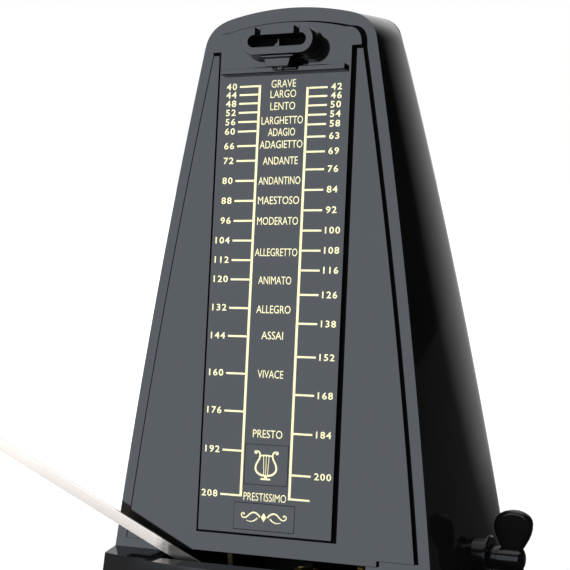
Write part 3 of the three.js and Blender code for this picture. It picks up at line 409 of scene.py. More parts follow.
CASE_BLACK = gloss_black("case_black")
PANEL_BLACK = gloss_black("panel_black", shade=0.004)
PLATE_BLACK = gloss_black("plate_black", roughness=0.045, ripple=0.007, ripple_size=14)
INLAY_BLACK = gloss_black("inlay_black", shade=0.005, roughness=0.06, ripple=0.006,
                          ripple_size=8)
CATCH_BLACK = gloss_black("catch_black", roughness=0.07, ripple=0.008, ripple_size=5)
KEY_BLACK = gloss_black("key_black", shade=0.003, roughness=0.08, ripple_size=4, shine=0.2)
COVER_BLACK = satin_black("cover_black")
# painted shade for the panel's joints, the badges' gaps and the catch's inside
PAINTED_SHADE_BLACK = hollow_black("hollow_black")
DULL_STEEL = metal("dull_steel", (0.30, 0.29, 0.27), (0.20, 0.19, 0.18), 0.45)
FOOT_RUBBER = rubber_black("foot_rubber")
PRINT_GOLD = gold_print("print_gold")
# the rod's lower end round the pivot gets painted shade, for the dark ledge it mirrors near the
# slot
ROD_STEEL = metal("rod_steel", (0.89, 0.78, 0.68), (0.84, 0.73, 0.63), 0.34, grain=0.5,
                  stain=9, painted_shade_at=(PIVOT, 33))
CHROME = metal("weight_chrome", (0.80, 0.80, 0.80), (0.70, 0.70, 0.71), 0.12)
TURNED_STEEL = metal("turned_steel", (0.58, 0.58, 0.59), (0.46, 0.46, 0.48), 0.30,
                     grain_scale=(6, 1, 1))
SCREW_STEEL = metal("screw_steel", (0.66, 0.65, 0.62), (0.52, 0.51, 0.48), 0.28)
HARD_STEEL = metal("hardened_steel", (0.44, 0.44, 0.47), (0.30, 0.30, 0.33), 0.34)
ZINC_STEEL = metal("zinc_steel", (0.56, 0.56, 0.55), (0.42, 0.43, 0.44), 0.42, grain=1.2,
                   stain=3)
SPRING_BLUE = metal("blued_spring", (0.20, 0.23, 0.32), (0.12, 0.13, 0.20), 0.30)
# the plates' brass painted far darker than brass: painted shade for the unlit inside of the case
SHADED_PLATE_BRASS = metal("brass_plate_in_shade", (0.10, 0.075, 0.035), (0.06, 0.045, 0.02), 0.5,
                    grain_scale=(1, 1, 14), grain=0.6)
WHEEL_BRASS = metal("brass_wheel", (0.74, 0.56, 0.25), (0.62, 0.45, 0.18), 0.25)
BOB_IRON = cast_iron("bob_iron")


# ------------------------------------------------------------ mesh helpers

def blended(first, second, share):
    return first + (second - first) * share


def curve(start, pull, end, share):
    """A point on a quadratic curve."""
    keep = 1 - share
    return tuple(keep * keep * a + 2 * keep * share * b + share * share * c
                 for a, b, c in zip(start, pull, end))


def bent_grid(columns, rows, place, opened=None):
    """A grid operator's sheet, each corner sent to place(column, row), less its open cells."""
    def column_and_row(point):
        return (point.x + 1) / 2 * columns, (point.y + 1) / 2 * rows

    bm = bmesh.new()
    bmesh.ops.create_grid(bm, x_segments=columns, y_segments=rows, size=1.0)
    if opened:
        cells = [face for face in bm.faces
                 if opened(*map(int, column_and_row(face.calc_center_median())))]
        bmesh.ops.delete(bm, geom=cells, context="FACES")
    for vert in bm.verts:
        vert.co = place(*map(round, column_and_row(vert.co)))
    return bm


def add(bm, other):
    """Puts another bmesh's shape into bm."""
    mesh = bpy.data.meshes.new("joining")
    other.to_mesh(mesh)
    other.free()
    bm.from_mesh(mesh)
    bpy.data.meshes.remove(mesh)
    return bm


def joined(parts):
    """One bmesh that holds several shapes."""
    whole = bmesh.new()
    for part in parts:
        add(whole, part)
    return whole


def moved(bm, matrix):
    bmesh.ops.transform(bm, matrix=matrix, verts=bm.verts)
    return bm


def shift(x, y, z):
    return Matrix.Translation((x, y, z))


def closed(bm):
    """Merges what touches and turns every face outwards."""
    bmesh.ops.remove_doubles(bm, verts=bm.verts, dist=MERGE)
    bmesh.ops.dissolve_degenerate(bm, dist=MERGE / 10, edges=bm.edges)
    bmesh.ops.recalc_face_normals(bm, faces=bm.faces)
    return bm


def raised(bm, faces, by):
    """Extrudes faces and moves the new ones by a vector."""
    grown = bmesh.ops.extrude_face_region(bm, geom=faces)
    verts = [part for part in grown["geom"] if isinstance(part, bmesh.types.BMVert)]
    bmesh.ops.translate(bm, vec=by, verts=verts)
    return bm


def walled(bm, thickness):
    """Gives a sheet whose faces point outwards a wall that grows inwards."""
    grown = bmesh.ops.extrude_face_region(bm, geom=bm.faces[:], use_keep_orig=True)
    for part in grown["geom"]:
        if isinstance(part, bmesh.types.BMVert):
            part.co -= part.normal * thickness
    bmesh.ops.recalc_face_normals(bm, faces=bm.faces)
    return bm


def round_edges(bm, width, segments=2, angle=30.0, chosen=None):
    """Bevels the edges that turn by more than angle."""
    limit = math.radians(angle)
    edges = [edge for edge in bm.edges if edge.is_manifold and edge.calc_face_angle(0) > limit
             and (chosen is None or chosen(edge))]
    bmesh.ops.bevel(bm, geom=edges, offset=width, offset_type="OFFSET", segments=segments,
                    profile=0.5, affect="EDGES", material=-1, clamp_overlap=True)
    return bm


def round_face(bm, face, width, segments=3, axis=1):
    """Rounds the edges that lie on the flat face at y = face, or on another axis."""
    return round_edges(bm, width, segments, chosen=lambda edge: all(
        abs(vert.co[axis] - face) < MERGE for vert in edge.verts))


def prism(outline, front, back):
    """An (x, z) outline made solid from y = front to y = back."""
    bm = bmesh.new()
    face = bm.faces.new([bm.verts.new((x, front, z)) for x, z in outline])
    return closed(raised(bm, [face], (0, back - front, 0)))


def turned(outline, segments=32):
    """A lathed solid: (radius, height) pairs from axis to axis, spun about +Z."""
    bm = bmesh.new()
    verts = [bm.verts.new((r, 0, h)) for r, h in outline]
    edges = [bm.edges.new(pair) for pair in zip(verts, verts[1:])]
    bmesh.ops.spin(bm, geom=verts + edges, cent=(0, 0, 0), axis=(0, 0, 1), dvec=(0, 0, 0),
                   angle=2 * math.pi, steps=segments, use_merge=True, use_duplicate=False)
    return closed(bm)


def swept(path, section, loop, taper_to=1.0):
    """An (outward, y) section carried along an (x, z) path, its width tapering to a share."""
    count = len(path)
    columns = count if loop else count - 1
    rows = len(section)

    def place(column, row):
        x, z = path[column % count]
        before = path[(column - 1) % count] if loop or column else path[column]
        after = path[(column + 1) % count] if loop or column < columns else path[column]
        along = Vector((after[0] - before[0], after[1] - before[1])).normalized()
        out, y = section[row % rows]
        out *= blended(1.0, taper_to, column / columns)
        return (x - along.y * out, y, z + along.x * out)

    bm = bent_grid(columns, rows, place)
    bmesh.ops.remove_doubles(bm, verts=bm.verts, dist=MERGE)
    open_edges = [edge for edge in bm.edges if edge.is_boundary]
    if open_edges:
        bmesh.ops.holes_fill(bm, edges=open_edges, sides=0)
    return closed(bm)


def slab(x0, x1, y0, y1, z0, z1):
    bm = bmesh.new()
    bmesh.ops.create_cube(bm, size=1.0)
    bmesh.ops.scale(bm, vec=(x1 - x0, y1 - y0, z1 - z0), verts=bm.verts)
    return moved(bm, shift((x0 + x1) / 2, (y0 + y1) / 2, (z0 + z1) / 2))


def along_x(bm):
    """Lays a shape that was turned about +Z along +X."""
    return moved(bm, Matrix.Rotation(QUARTER, 4, "Y"))


def drilled(bm, cutter):
    """Cuts one closed shape out of another."""
    stock = []
    for shape in (bm, cutter):
        mesh = bpy.data.meshes.new("drilling")
        shape.to_mesh(mesh)
        shape.free()
        stock.append(bpy.data.objects.new("drilling", mesh))
        bpy.context.scene.collection.objects.link(stock[-1])
    cut = stock[0].modifiers.new("hole", "BOOLEAN")
    cut.operation = "DIFFERENCE"
    cut.object = stock[1]
    result = bmesh.new()
    result.from_object(stock[0], bpy.context.evaluated_depsgraph_get())
    for spent in stock:
        bpy.data.meshes.remove(spent.data)
    return result


def piece(bm, name, finish, body, slot, replaces=(), place=None, smooth=35.0):
    """Makes a bmesh in millimetres a finished piece that rides on a body."""
    if place:
        moved(bm, place)
    bmesh.ops.scale(bm, vec=(MM, MM, MM), verts=bm.verts)
    mesh = bpy.data.meshes.new(name)
    bm.to_mesh(mesh)
    bm.free()
    mesh.shade_smooth()
    mesh.set_sharp_from_angle(angle=math.radians(smooth))
    mesh.materials.append(finish)
    made = bpy.data.objects.new(name, mesh)
    bpy.context.scene.collection.objects.link(made)
    weighted = made.modifiers.new("even_shading", "WEIGHTED_NORMAL")
    weighted.keep_sharp = True
    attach(made, body)
    if replaces:
        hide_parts(*replaces)


def on_face(bm, name, finish, slot, replaced=None, middle=0.0):
    """A piece of the case's face, its middle so far up the slope from the scale's origin."""
    piece(bm, name, finish, "case", slot, (replaced,) if replaced else (),
          FACE @ shift(0, 0, middle))


# ------------------------------------------------------------ the housing's own surfaces

def taper(half, slope, height):
    """A half size that shrinks upwards, a little faster towards the top."""
    return half - slope * height - SIDE_BOW * height * height


def half_width(z):
    return taper(HALF_WIDTH, WIDTH_TAPER, z - SCALE_HEIGHT)


def face_y(z):
    """Depth of the frame's face, which leans back with the scale."""
    return SCALE_DEPTH + FRAME_FACE / math.cos(LEAN) + (z - SCALE_HEIGHT) * math.tan(LEAN)


def plan_scale(z):
    """The plan's stretch across and from front to back at a height."""
    deep = taper(HALF_DEPTH, DEPTH_TAPER, z - SCALE_HEIGHT) / (PLAN_DEPTH + PLAN_FRONT_BULGE)
    share = face_y(z) / deep / PLAN_DEPTH
    return half_width(z) / (PLAN_SIDE + PLAN_SIDE_BULGE * (1 - share * share)), deep


def side_x(y, z):
    """Where the side wall stands at a depth and a height."""
    wide, deep = plan_scale(z)
    share = y / deep / PLAN_DEPTH
    return wide * (PLAN_SIDE + PLAN_SIDE_BULGE * (1 - share * share))


def back_y(x, z):
    """Where the back stands at a width and a height; the lower front is its mirror image."""
    wide, deep = plan_scale(z)
    share = x / wide / PLAN_SIDE
    return deep * (PLAN_DEPTH + PLAN_FRONT_BULGE * (1 - share * share))


def panel_half(along):
    """Half width inside the frame band, by height along the slope."""
    return taper(HALF_WIDTH - FRAME_BAND, WIDTH_TAPER * math.cos(LEAN), along)


# ------------------------------------------------------------ housing

# The wall is a grid: columns run from the middle of the front round to the middle of the
# back, rows from the floor to the ledge and on up the face to the crown.
FRONT_COLUMNS = 18
SLOT_COLUMN = 8               # the slot and the window end at these columns
WINDOW_COLUMN = 10
LEDGE_COLUMNS = 4
SIDE_COLUMNS = 16
CORNER_COLUMNS = 6
LOWER_ROWS = 8
FACE_ROWS = 20
SLOT_ROWS = 3                 # rows below the window that the slot's back edge needs
LIFT_ROWS = 4                 # rows over which the face's columns lean in to the crown's
SIDE_START = FRONT_COLUMNS + LEDGE_COLUMNS
CORNER_START = SIDE_START + SIDE_COLUMNS
BACK_START = CORNER_START + CORNER_COLUMNS
RING_COLUMNS = BACK_START + FRONT_COLUMNS
TOP_BAND = 7.5                # frame above the window, in millimetres
SIDE_TOP = SHOULDER + 4       # above this the back's plan stays the same
LEDGE_SPLIT = 0.4             # where the ledge's middle row lies beside the slot
HALVINGS = 30                 # steps of the search for a place on the crown's corner

ARCH_X = CROWN_HALF - CROWN_CORNER
ARCH_DROP = CROWN_RADIUS - math.sqrt(CROWN_RADIUS ** 2 - ARCH_X ** 2)


def back_corner(z, share):
    """The rounded rear corner of the plan, from side (0) to back (1)."""
    wide, deep = plan_scale(z)
    x = PLAN_SIDE - BACK_EDGE_RADIUS
    y = PLAN_DEPTH - BACK_EDGE_RADIUS
    start = (PLAN_SIDE + PLAN_SIDE_BULGE * (1 - (y / PLAN_DEPTH) ** 2), y)
    end = (x, PLAN_DEPTH + PLAN_FRONT_BULGE * (1 - (x / PLAN_SIDE) ** 2))
    lean_x = -2 * PLAN_SIDE_BULGE * y / PLAN_DEPTH ** 2
    lean_y = -2 * PLAN_FRONT_BULGE * x / PLAN_SIDE ** 2
    pull_x = (start[0] + lean_x * (end[1] - lean_y * x - y)) / (1 - lean_x * lean_y)
    pull = (pull_x, end[1] + lean_y * (pull_x - x))
    px, py = curve(start, pull, end, share)
    return px * wide, py * deep


def arch_corner(side, share):
    """The crown's rounded corner, from the arch (0) to the side wall (1)."""
    tangent = CROWN - ARCH_DROP * (1 + 2 * CROWN_CORNER / ARCH_X)
    x, z = curve((ARCH_X, CROWN - ARCH_DROP), (CROWN_HALF, tangent),
                 (half_width(SHOULDER), SHOULDER), share)
    stretch = (side - ARCH_X) / (half_width(SHOULDER) - ARCH_X)
    return ARCH_X + (x - ARCH_X) * stretch, z


def corner_share(side, x):
    """How far along the crown's corner a given width lies."""
    low, high = 0.0, 1.0
    for _ in range(HALVINGS):
        middle = (low + high) / 2
        if arch_corner(side, middle)[0] < x:
            low = middle
        else:
            high = middle
    return high


def crown_y(x, z, share):
    """Depth on the crown, from the face (0) to the back (1)."""
    return blended(face_y(z), back_y(x, z), share)


def side_depth(column, z, front=None):
    """Depth of a side column, spread from the face, or another front, to the rear corner."""
    start = face_y(z) if front is None else front
    return blended(start, back_corner(z, 0)[1], (column - SIDE_START) / SIDE_COLUMNS)


def crown_end(column):
    """Side width and corner share where a wall column meets the crown."""
    if column <= SIDE_START:
        return half_width(SHOULDER), 1.0
    if column <= CORNER_START:
        return side_x(side_depth(column, SHOULDER), SHOULDER), 1.0
    side_back = back_corner(SHOULDER, 0)[0]
    share = (min(column, BACK_START) - CORNER_START) / CORNER_COLUMNS
    return side_back, corner_share(side_back, back_corner(SIDE_TOP, share)[0])


def past(column, start):
    """A front column's place from start (0) to the front's corner (1)."""
    return (column - start) / (FRONT_COLUMNS - start)


def crown_point(column, across):
    """(x, z) on the crown, above a wall column, across columns from the middle."""
    if across <= WINDOW_COLUMN:
        x = ARCH_X * across / WINDOW_COLUMN
        return x, CROWN - ARCH_DROP * (x / ARCH_X) ** 2
    side, end = crown_end(column)
    return arch_corner(side, end * past(across, WINDOW_COLUMN))


# how far back on the crown the rounded rear corners begin
CORNER_SHARE = ((back_corner(SHOULDER, 0)[1] - face_y(SHOULDER))
                / (back_y(half_width(SHOULDER), SHOULDER) - face_y(SHOULDER)))


def ring_across(column):
    """Columns from the middle plane, and the side of the case that the column is on."""
    if column <= FRONT_COLUMNS:
        return column, "front"
    if column >= BACK_START:
        return RING_COLUMNS - column, "back"
    return FRONT_COLUMNS, "side"


def lower_ring(column, z):
    """A point on the lower box's wall."""
    across, where = ring_across(column)
    wide, deep = plan_scale(z)
    if where == "front":
        edge = SLOT_HALF / PLAN_SIDE
        share = (edge * across / SLOT_COLUMN if across <= SLOT_COLUMN else
                 blended(edge, 1, past(across, SLOT_COLUMN)))
        x = share * PLAN_SIDE * wide
        return x, -back_y(x, z), z
    if where == "back":
        x = back_corner(z, 1)[0] * across / FRONT_COLUMNS
        return x, back_y(x, z), z
    if column > CORNER_START:
        x, y = back_corner(z, (column - CORNER_START) / CORNER_COLUMNS)
        return x, y, z
    ledge_back = face_y(LEDGE_HEIGHT) * deep / plan_scale(LEDGE_HEIGHT)[1]
    if column <= SIDE_START:
        y = blended(-PLAN_DEPTH * deep, ledge_back, (column - FRONT_COLUMNS) / LEDGE_COLUMNS)
    else:
        y = side_depth(column, z, ledge_back)
    return side_x(y, z), y, z


def ledge_middle(column):
    """The row of the ledge that carries the slot's front edge."""
    outer = Vector(lower_ring(column, LEDGE_HEIGHT))
    inner = Vector(face_ring(column, 0))
    if column <= SLOT_COLUMN:
        return outer.x, SLOT_FRONT, LEDGE_HEIGHT
    return outer.lerp(inner, LEDGE_SPLIT)


def window_half(z):
    return panel_half((z - SCALE_HEIGHT) / math.cos(LEAN)) - PANEL_LAP


def face_ring(column, row):
    """The pyramid above the ledge: row 0 lies on the ledge, the last on the crown."""
    across, where = ring_across(column)
    top_x, top_z = crown_point(column, across)
    heights = [LEDGE_HEIGHT, SLOT_TOP, SLOT_TOP + 3]
    if row < SLOT_ROWS:
        z = heights[row]
    elif row < FACE_ROWS:
        z = blended(heights[-1], top_z - TOP_BAND, (row - SLOT_ROWS + 1) / (FACE_ROWS - SLOT_ROWS))
    else:
        z = top_z
    if where == "front":
        if row == FACE_ROWS:
            return top_x, face_y(z), z
        if row == 0 or (row == 1 and across <= SLOT_COLUMN):
            x = lower_ring(min(across, SLOT_COLUMN), LEDGE_HEIGHT)[0]
            if across > SLOT_COLUMN:
                x = blended(x, half_width(z), past(across, SLOT_COLUMN))
            return x, face_y(z), z
        if across <= WINDOW_COLUMN:
            x = window_half(z) * across / WINDOW_COLUMN
        else:
            x = blended(window_half(z), half_width(z), past(across, WINDOW_COLUMN))
        lift = max(0.0, (row - FACE_ROWS + LIFT_ROWS) / LIFT_ROWS)
        return blended(x, top_x, lift * lift), face_y(z), z
    if where == "back":
        lift = (z - LEDGE_HEIGHT) / (top_z - LEDGE_HEIGHT)
        edge = back_corner(min(z, SIDE_TOP), 1)[0]
        top_share = top_x / back_corner(SIDE_TOP, 1)[0]
        x = edge * blended(across / FRONT_COLUMNS, top_share, lift ** 3)
        if row == FACE_ROWS:
            x = top_x
        return x, back_y(x, z), z
    if column > CORNER_START:
        share = (column - CORNER_START) / CORNER_COLUMNS
        x, y = back_corner(z, share)
        if row == FACE_ROWS:
            x, y = top_x, crown_y(top_x, z, blended(CORNER_SHARE, 1, share))
        return x, y, z
    if column <= SIDE_START:
        return half_width(z), face_y(z), z
    y = side_depth(column, z)
    return side_x(y, z), y, z


def housing_wall(column, row):
    """A point of the whole wall: the lower box, the ledge and the face."""
    if row <= LOWER_ROWS:
        return lower_ring(column, LEDGE_HEIGHT * row / LOWER_ROWS)
    if row == LOWER_ROWS + 1:
        if column >= SIDE_START:
            return lower_ring(column, LEDGE_HEIGHT)
        return ledge_middle(column)
    return face_ring(column, row - LOWER_ROWS - 2)


def crown_sheet(column, row):
    """The top: columns across from the middle, rows from the face to the back."""
    wall = SIDE_START + row
    x, z = crown_point(wall, column)
    end = Vector(face_ring(wall, FACE_ROWS))
    share = (end.y - face_y(end.z)) / (back_y(end.x, end.z) - face_y(end.z))
    return x, crown_y(x, z, share), z


def in_window(column, row):
    """Cells of the wall grid that are open: the slot and the panel's window."""
    first_face = LOWER_ROWS + 2
    slot = column < SLOT_COLUMN and LOWER_ROWS + 1 <= row <= first_face
    window = column < WINDOW_COLUMN and first_face + 2 <= row < first_face + FACE_ROWS - 1
    return slot or window


def housing():
    """The hollow pyramid: wall and crown mirrored, given a thickness, rounded and bored."""
    bm = bent_grid(RING_COLUMNS, LOWER_ROWS + 2 + FACE_ROWS, housing_wall, in_window)
    add(bm, bent_grid(FRONT_COLUMNS, SIDE_COLUMNS + CORNER_COLUMNS, crown_sheet))
    closed(bm)
    bmesh.ops.mirror(bm, geom=bm.verts[:] + bm.edges[:] + bm.faces[:], axis="X",
                     merge_dist=10 * MERGE)
    skin = set(closed(bm).verts)
    walled(bm, WALL)
    round_edges(bm, MOULD_EDGE, 4, 35, lambda edge: skin.issuperset(edge.verts))
    bore = KEY_BUSH_RADIUS + FIT
    key_hole = along_x(turned([(0, HALF_WIDTH), (bore, HALF_WIDTH), (bore, 2 * HALF_WIDTH),
                               (0, 2 * HALF_WIDTH)], 48))
    return drilled(bm, moved(key_hole, shift(*WINDING)))


# ------------------------------------------------------------ face pieces

PANEL_LOW = (PANEL_BOTTOM - SCALE_HEIGHT) / math.cos(LEAN)
WINGS_BACK = FRAME_FACE - 0.3
BODY_FRONT = FRAME_FACE - 0.31
# depths of the sheet of painted shade behind the joints
SHADE_SHEET_FRONT = PLATE_THICK + 0.6
SHADE_SHEET_BACK = FRAME_FACE - 0.32
JOINT_FRONT = FRAME_FACE - 0.6


def mirrored(points):
    """Closes a right-hand half outline with its mirror image."""
    return points + [(-x, z) for x, z in reversed(points) if x]


def side_run(low, high, steps=10, inset=0.0):
    """The panel's right side from low to high."""
    heights = [blended(low, high, step / steps) for step in range(steps + 1)]
    return [(panel_half(along) - inset, along) for along in heights]


def head_run(inset=0.0, steps=8):
    """The head's corner and arch, from the right side to the middle."""
    half = panel_half(PLATE_SHOULDER)
    drop = HEAD_RADIUS - math.sqrt(HEAD_RADIUS ** 2 - (half - HEAD_CORNER) ** 2)
    shoulder = HEAD_TOP - drop - HEAD_CORNER * 1.1
    corner = [curve((panel_half(shoulder), shoulder), (half, HEAD_TOP - drop),
                    (half - HEAD_CORNER, HEAD_TOP - drop), step / steps)
              for step in range(steps)]
    arch = [curve((half - HEAD_CORNER, HEAD_TOP - drop), (0, HEAD_TOP + drop),
                  (HEAD_CORNER - half, HEAD_TOP - drop), step / steps / 2)
            for step in range(steps + 1)]
    return [(max(0.0, x - inset), along - inset) for x, along in corner + arch[:-1]] + [
        (0.0, arch[-1][1] - inset)]


def joint_outline(gap):
    """The panel's outline grown by a gap."""
    low = PANEL_LOW + PANEL_STEP_RISE
    return mirrored([(0.0, low)] + side_run(low, PLATE_SHOULDER, inset=-gap)
                    + head_run(inset=-gap))


def joint_recess():
    """The sunk bed in the frame that leaves a shadow line round the panel."""
    return prism(joint_outline(JOINT_WIDE), JOINT_FRONT, FRAME_FACE + JOINT_DEEP)


def front_panel():
    """The raised wings on both sides of the scale plate and the body in the window."""
    step = PANEL_LOW + PANEL_STEP_RISE
    groove = PLATE_HALF + PLATE_GROOVE
    bed_low = PLATE_LOW - PLATE_GAP
    bed_top = PLATE_SHOULDER - PLATE_GAP
    wings = prism(mirrored([(0.0, PANEL_LOW), (PANEL_STEP_HALF, PANEL_LOW),
                            (PANEL_STEP_HALF, step)] + side_run(step, bed_top)
                           + [(groove, bed_top), (groove, bed_low), (0.0, bed_low)]),
                  PANEL_FACE, WINGS_BACK)
    body_low = PANEL_LOW + 4
    body = prism(mirrored([(0.0, body_low)]
                          + side_run(body_low, PLATE_SHOULDER, inset=PANEL_LAP + FIT)
                          + [(0.0, PLATE_SHOULDER)]), BODY_FRONT, FRAME_FACE + PANEL_BACK)
    return add(round_face(wings, PANEL_FACE, FACE_EDGE), body)


def panel_seal():
    """A dull sheet behind the plate and the panel that shows as the black line round them: painted
    shade in their joints.
    """
    bed_low = PLATE_LOW - PLATE_GROOVE - 2
    bed = prism(mirrored([(0.0, bed_low)] + side_run(bed_low, PLATE_SHOULDER - 2, inset=0.5)
                         + head_run(0.05)), SHADE_SHEET_FRONT, SHADE_SHEET_BACK)
    return add(bed, prism(joint_outline(JOINT_WIDE - 0.02), FRAME_FACE + JOINT_DEEP / 2,
                          FRAME_FACE + JOINT_DEEP + 0.02))


def scale_plate():
    """The T-shaped plate with its arched head and the rib across it."""
    plate = prism(mirrored([(0.0, PLATE_LOW), (PLATE_HALF, PLATE_LOW),
                            (PLATE_HALF, PLATE_SHOULDER),
                            (panel_half(PLATE_SHOULDER), PLATE_SHOULDER)] + head_run()),
                  0.0, PLATE_THICK)
    rib = slab(-RIB_HALF, RIB_HALF, -RIB_PROUD, PLATE_THICK / 2, RIB_LOW, RIB_HIGH)
    return add(round_face(plate, 0.0, FACE_EDGE), round_face(rib, -RIB_PROUD, 0.3))


piece(drilled(housing(), moved(joint_recess(), FACE)), "case_housing", CASE_BLACK, "case",
      "case_gloss", ("housing",), smooth=50)
on_face(front_panel(), "face_panel", PANEL_BLACK, "panel_gloss", "front_panel")
# painted shade: the dead black sheet in the joints round the panel and the plate
on_face(panel_seal(), "panel_seal", PAINTED_SHADE_BLACK, "panel_gloss")
on_face(scale_plate(), "scale_face", PLATE_BLACK, "plate_gloss", "scale_plate")


# ------------------------------------------------------------ printed scale

def tempo_height(tempo):
    """Height along the slope at which the sliding weight beats this tempo."""
    beat = (math.pi * tempo / 60) ** 2
    root = math.sqrt(GRAVITY ** 2 - 4 * beat * (beat * ROD_SPREAD - GRAVITY * BOB_MOMENT))
    reach = (root - GRAVITY) / (2 * beat)
    return reach - SCALE_REACH


def mark_height(tempo):
    """Where a tempo's tick is printed: the lowest pair stands a little low."""
    return tempo_height(tempo) - (END_TICK_DROP if tempo == LEFT_TEMPOS[-1] else 0)


def scale_marks():
    """The two rails with their ticks."""
    left = [mark_height(tempo) for tempo in LEFT_TEMPOS]
    right = [mark_height(tempo) for tempo in RIGHT_TEMPOS] + [left[-1]]
    half = TICK_THICK / 2
    lines = []
    for side, heights in ((-1, left), (1, right)):
        rail = side * RAIL_X
        lines.append((rail - RAIL_WIDE / 2, rail + RAIL_WIDE / 2, heights[-1] - half,
                      heights[0] + half))
        ends = sorted((side * (RAIL_X + RAIL_WIDE / 4), side * TICK_END[side]))
        lines += [(*ends, along - half, along + half) for along in heights]
    return joined(slab(x0, x1, -PRINT_PROUD, PRINT_DEEP, z0, z1) for x0, x1, z0, z1 in lines)


def lettering(text, tall, spacing=1.0, weight=0.0):
    """Plain lettering about its own middle, and its width: tall is the capital height."""
    data = bpy.data.curves.new("lettering", "FONT")
    data.body = text
    data.size = tall / CAP_SHARE
    data.align_x = "CENTER"
    data.align_y = "CENTER"
    data.resolution_u = 3
    data.space_character = spacing
    data.offset = weight
    data.extrude = (PRINT_PROUD + PRINT_DEEP) / 2
    holder = bpy.data.objects.new("lettering", data)
    bpy.context.scene.collection.objects.link(holder)
    bpy.context.view_layer.update()
    mesh = bpy.data.meshes.new_from_object(holder)
    bpy.data.objects.remove(holder)
    bpy.data.curves.remove(data)
    bm = bmesh.new()
    bm.from_mesh(mesh)
    bpy.data.meshes.remove(mesh)
    bmesh.ops.remove_doubles(bm, verts=bm.verts, dist=MERGE / 100)
    moved(bm, shift(0, (PRINT_DEEP - PRINT_PROUD) / 2, 0) @ UPRIGHT)
    low, high = (end(vert.co.x for vert in bm.verts) for end in (min, max))
    return moved(bm, shift(-(low + high) / 2, 0, 0)), high - low


def set_on_scale(text, share, middle, height):
    """Lettering stretched across by a share and put at its place on the plate."""
    bmesh.ops.scale(text, vec=(share, 1, 1), verts=text.verts)
    return moved(text, shift(middle, 0, height))


def scale_numbers():
    """The tempos beside their ticks, each column aligned on its inner edge."""
    numbers = []
    for tempos, edge in ((LEFT_TEMPOS, NUMBER_X[-1]), (RIGHT_TEMPOS, NUMBER_X[1])):
        for tempo in tempos:
            number, width = lettering(str(tempo), DIGIT_TALL, DIGIT_SPACING, DIGIT_WEIGHT)
            middle = edge + math.copysign(width * DIGIT_WIDE / 2, edge)
            numbers.append(set_on_scale(number, DIGIT_WIDE, middle, mark_height(tempo)))
    return joined(numbers)


def scale_words():
    """The tempos' usual Italian names between the rails."""
    words = []
    for text, (tempo, width) in TEMPO_WORDS.items():
        word, natural = lettering(text, WORD_TALL, weight=WORD_WEIGHT)
        words.append(set_on_scale(word, WORD_WIDE * width / natural, 0, tempo_height(tempo)))
    return joined(words)


on_face(scale_marks(), "scale_marks", PRINT_GOLD, "plate_gloss")
on_face(scale_numbers(), "scale_numbers", PRINT_GOLD, "plate_gloss")
on_face(scale_words(), "scale_words", PRINT_GOLD, "plate_gloss")


# ------------------------------------------------------------ badges and their ornaments

def gilt_line(path, wide, taper_to=1.0):
    """A flat gold line along an (x, z) path, its width tapering towards its end."""
    half = wide / 2
    section = [(-half, GILT_FRONT), (half, GILT_FRONT), (half, GILT_BACK), (-half, GILT_BACK)]
    return swept(path, section, False, taper_to)


def bezier_path(corners, steps=7):
    """Points along joined cubic curves: corners holds 3 n + 1 control points."""
    path = [corners[0]]
    for start in range(0, len(corners) - 1, 3):
        a, b, c, d = corners[start:start + 4]
        for step in range(1, steps + 1):
            t = step / steps
            low = curve(a, b, c, t)
            high = curve(b, c, d, t)
            path.append((blended(low[0], high[0], t), blended(low[1], high[1], t)))
    return path


def flipped(path):
    return [(-x, z) for x, z in path]


def gilt_dot(x, z, radius):
    bm = bmesh.new()
    bmesh.ops.create_cone(bm, cap_ends=True, segments=20, radius1=radius, radius2=radius,
                          depth=GILT_BACK - GILT_FRONT)
    return moved(bm, shift(x, (GILT_FRONT + GILT_BACK) / 2, z) @ UPRIGHT)


def inlays():
    """Two thin inset badges: a square one and a broad one below it."""
    return joined(round_face(slab(-half, half, INLAY_FRONT, 0.5, low, high), INLAY_FRONT, 0.08, 2)
                  for half, low, high in (EMBLEM, BADGE))


def badge_outlines():
    """The hairline gap round each badge, drawn as a dead black strip of painted shade."""
    front, back = INLAY_FRONT - 0.01, 0.3
    section = [(-0.04, front), (0.12, front), (0.12, back), (-0.04, back)]
    return joined(swept([(-half, low), (-half, high), (half, high), (half, low)], section, True)
                  for half, low, high in (EMBLEM, BADGE))


def lyre():
    """A plain lyre, the common sign for music."""
    arm = bezier_path([(0.35, -3.0), (2.2, -3.0), (3.6, -1.9), (3.2, -0.4), (2.9, 0.9),
                       (1.7, 1.7), (2.0, 3.0), (2.15, 3.7), (2.9, 4.1), (3.4, 3.6)])
    arms = [gilt_line(path, 0.62, 0.6) for path in (arm, flipped(arm))]
    tips = [gilt_dot(side * 3.3, 3.5, 0.5) for side in (-1, 1)]
    yoke = gilt_line([(-2.3, 2.5), (0, 2.75), (2.3, 2.5)], 0.42)
    strings = [gilt_line([(x * 0.7, -2.9), (x, 2.6)], 0.2) for x in (-0.85, 0.0, 0.85)]
    foot_line = gilt_line([(-1.5, -4.0), (1.5, -4.0)], 0.5)
    stem = gilt_line([(0, -3.9), (0, -2.9)], 0.9)
    return joined([*arms, *tips, yoke, *strings, foot_line, stem])


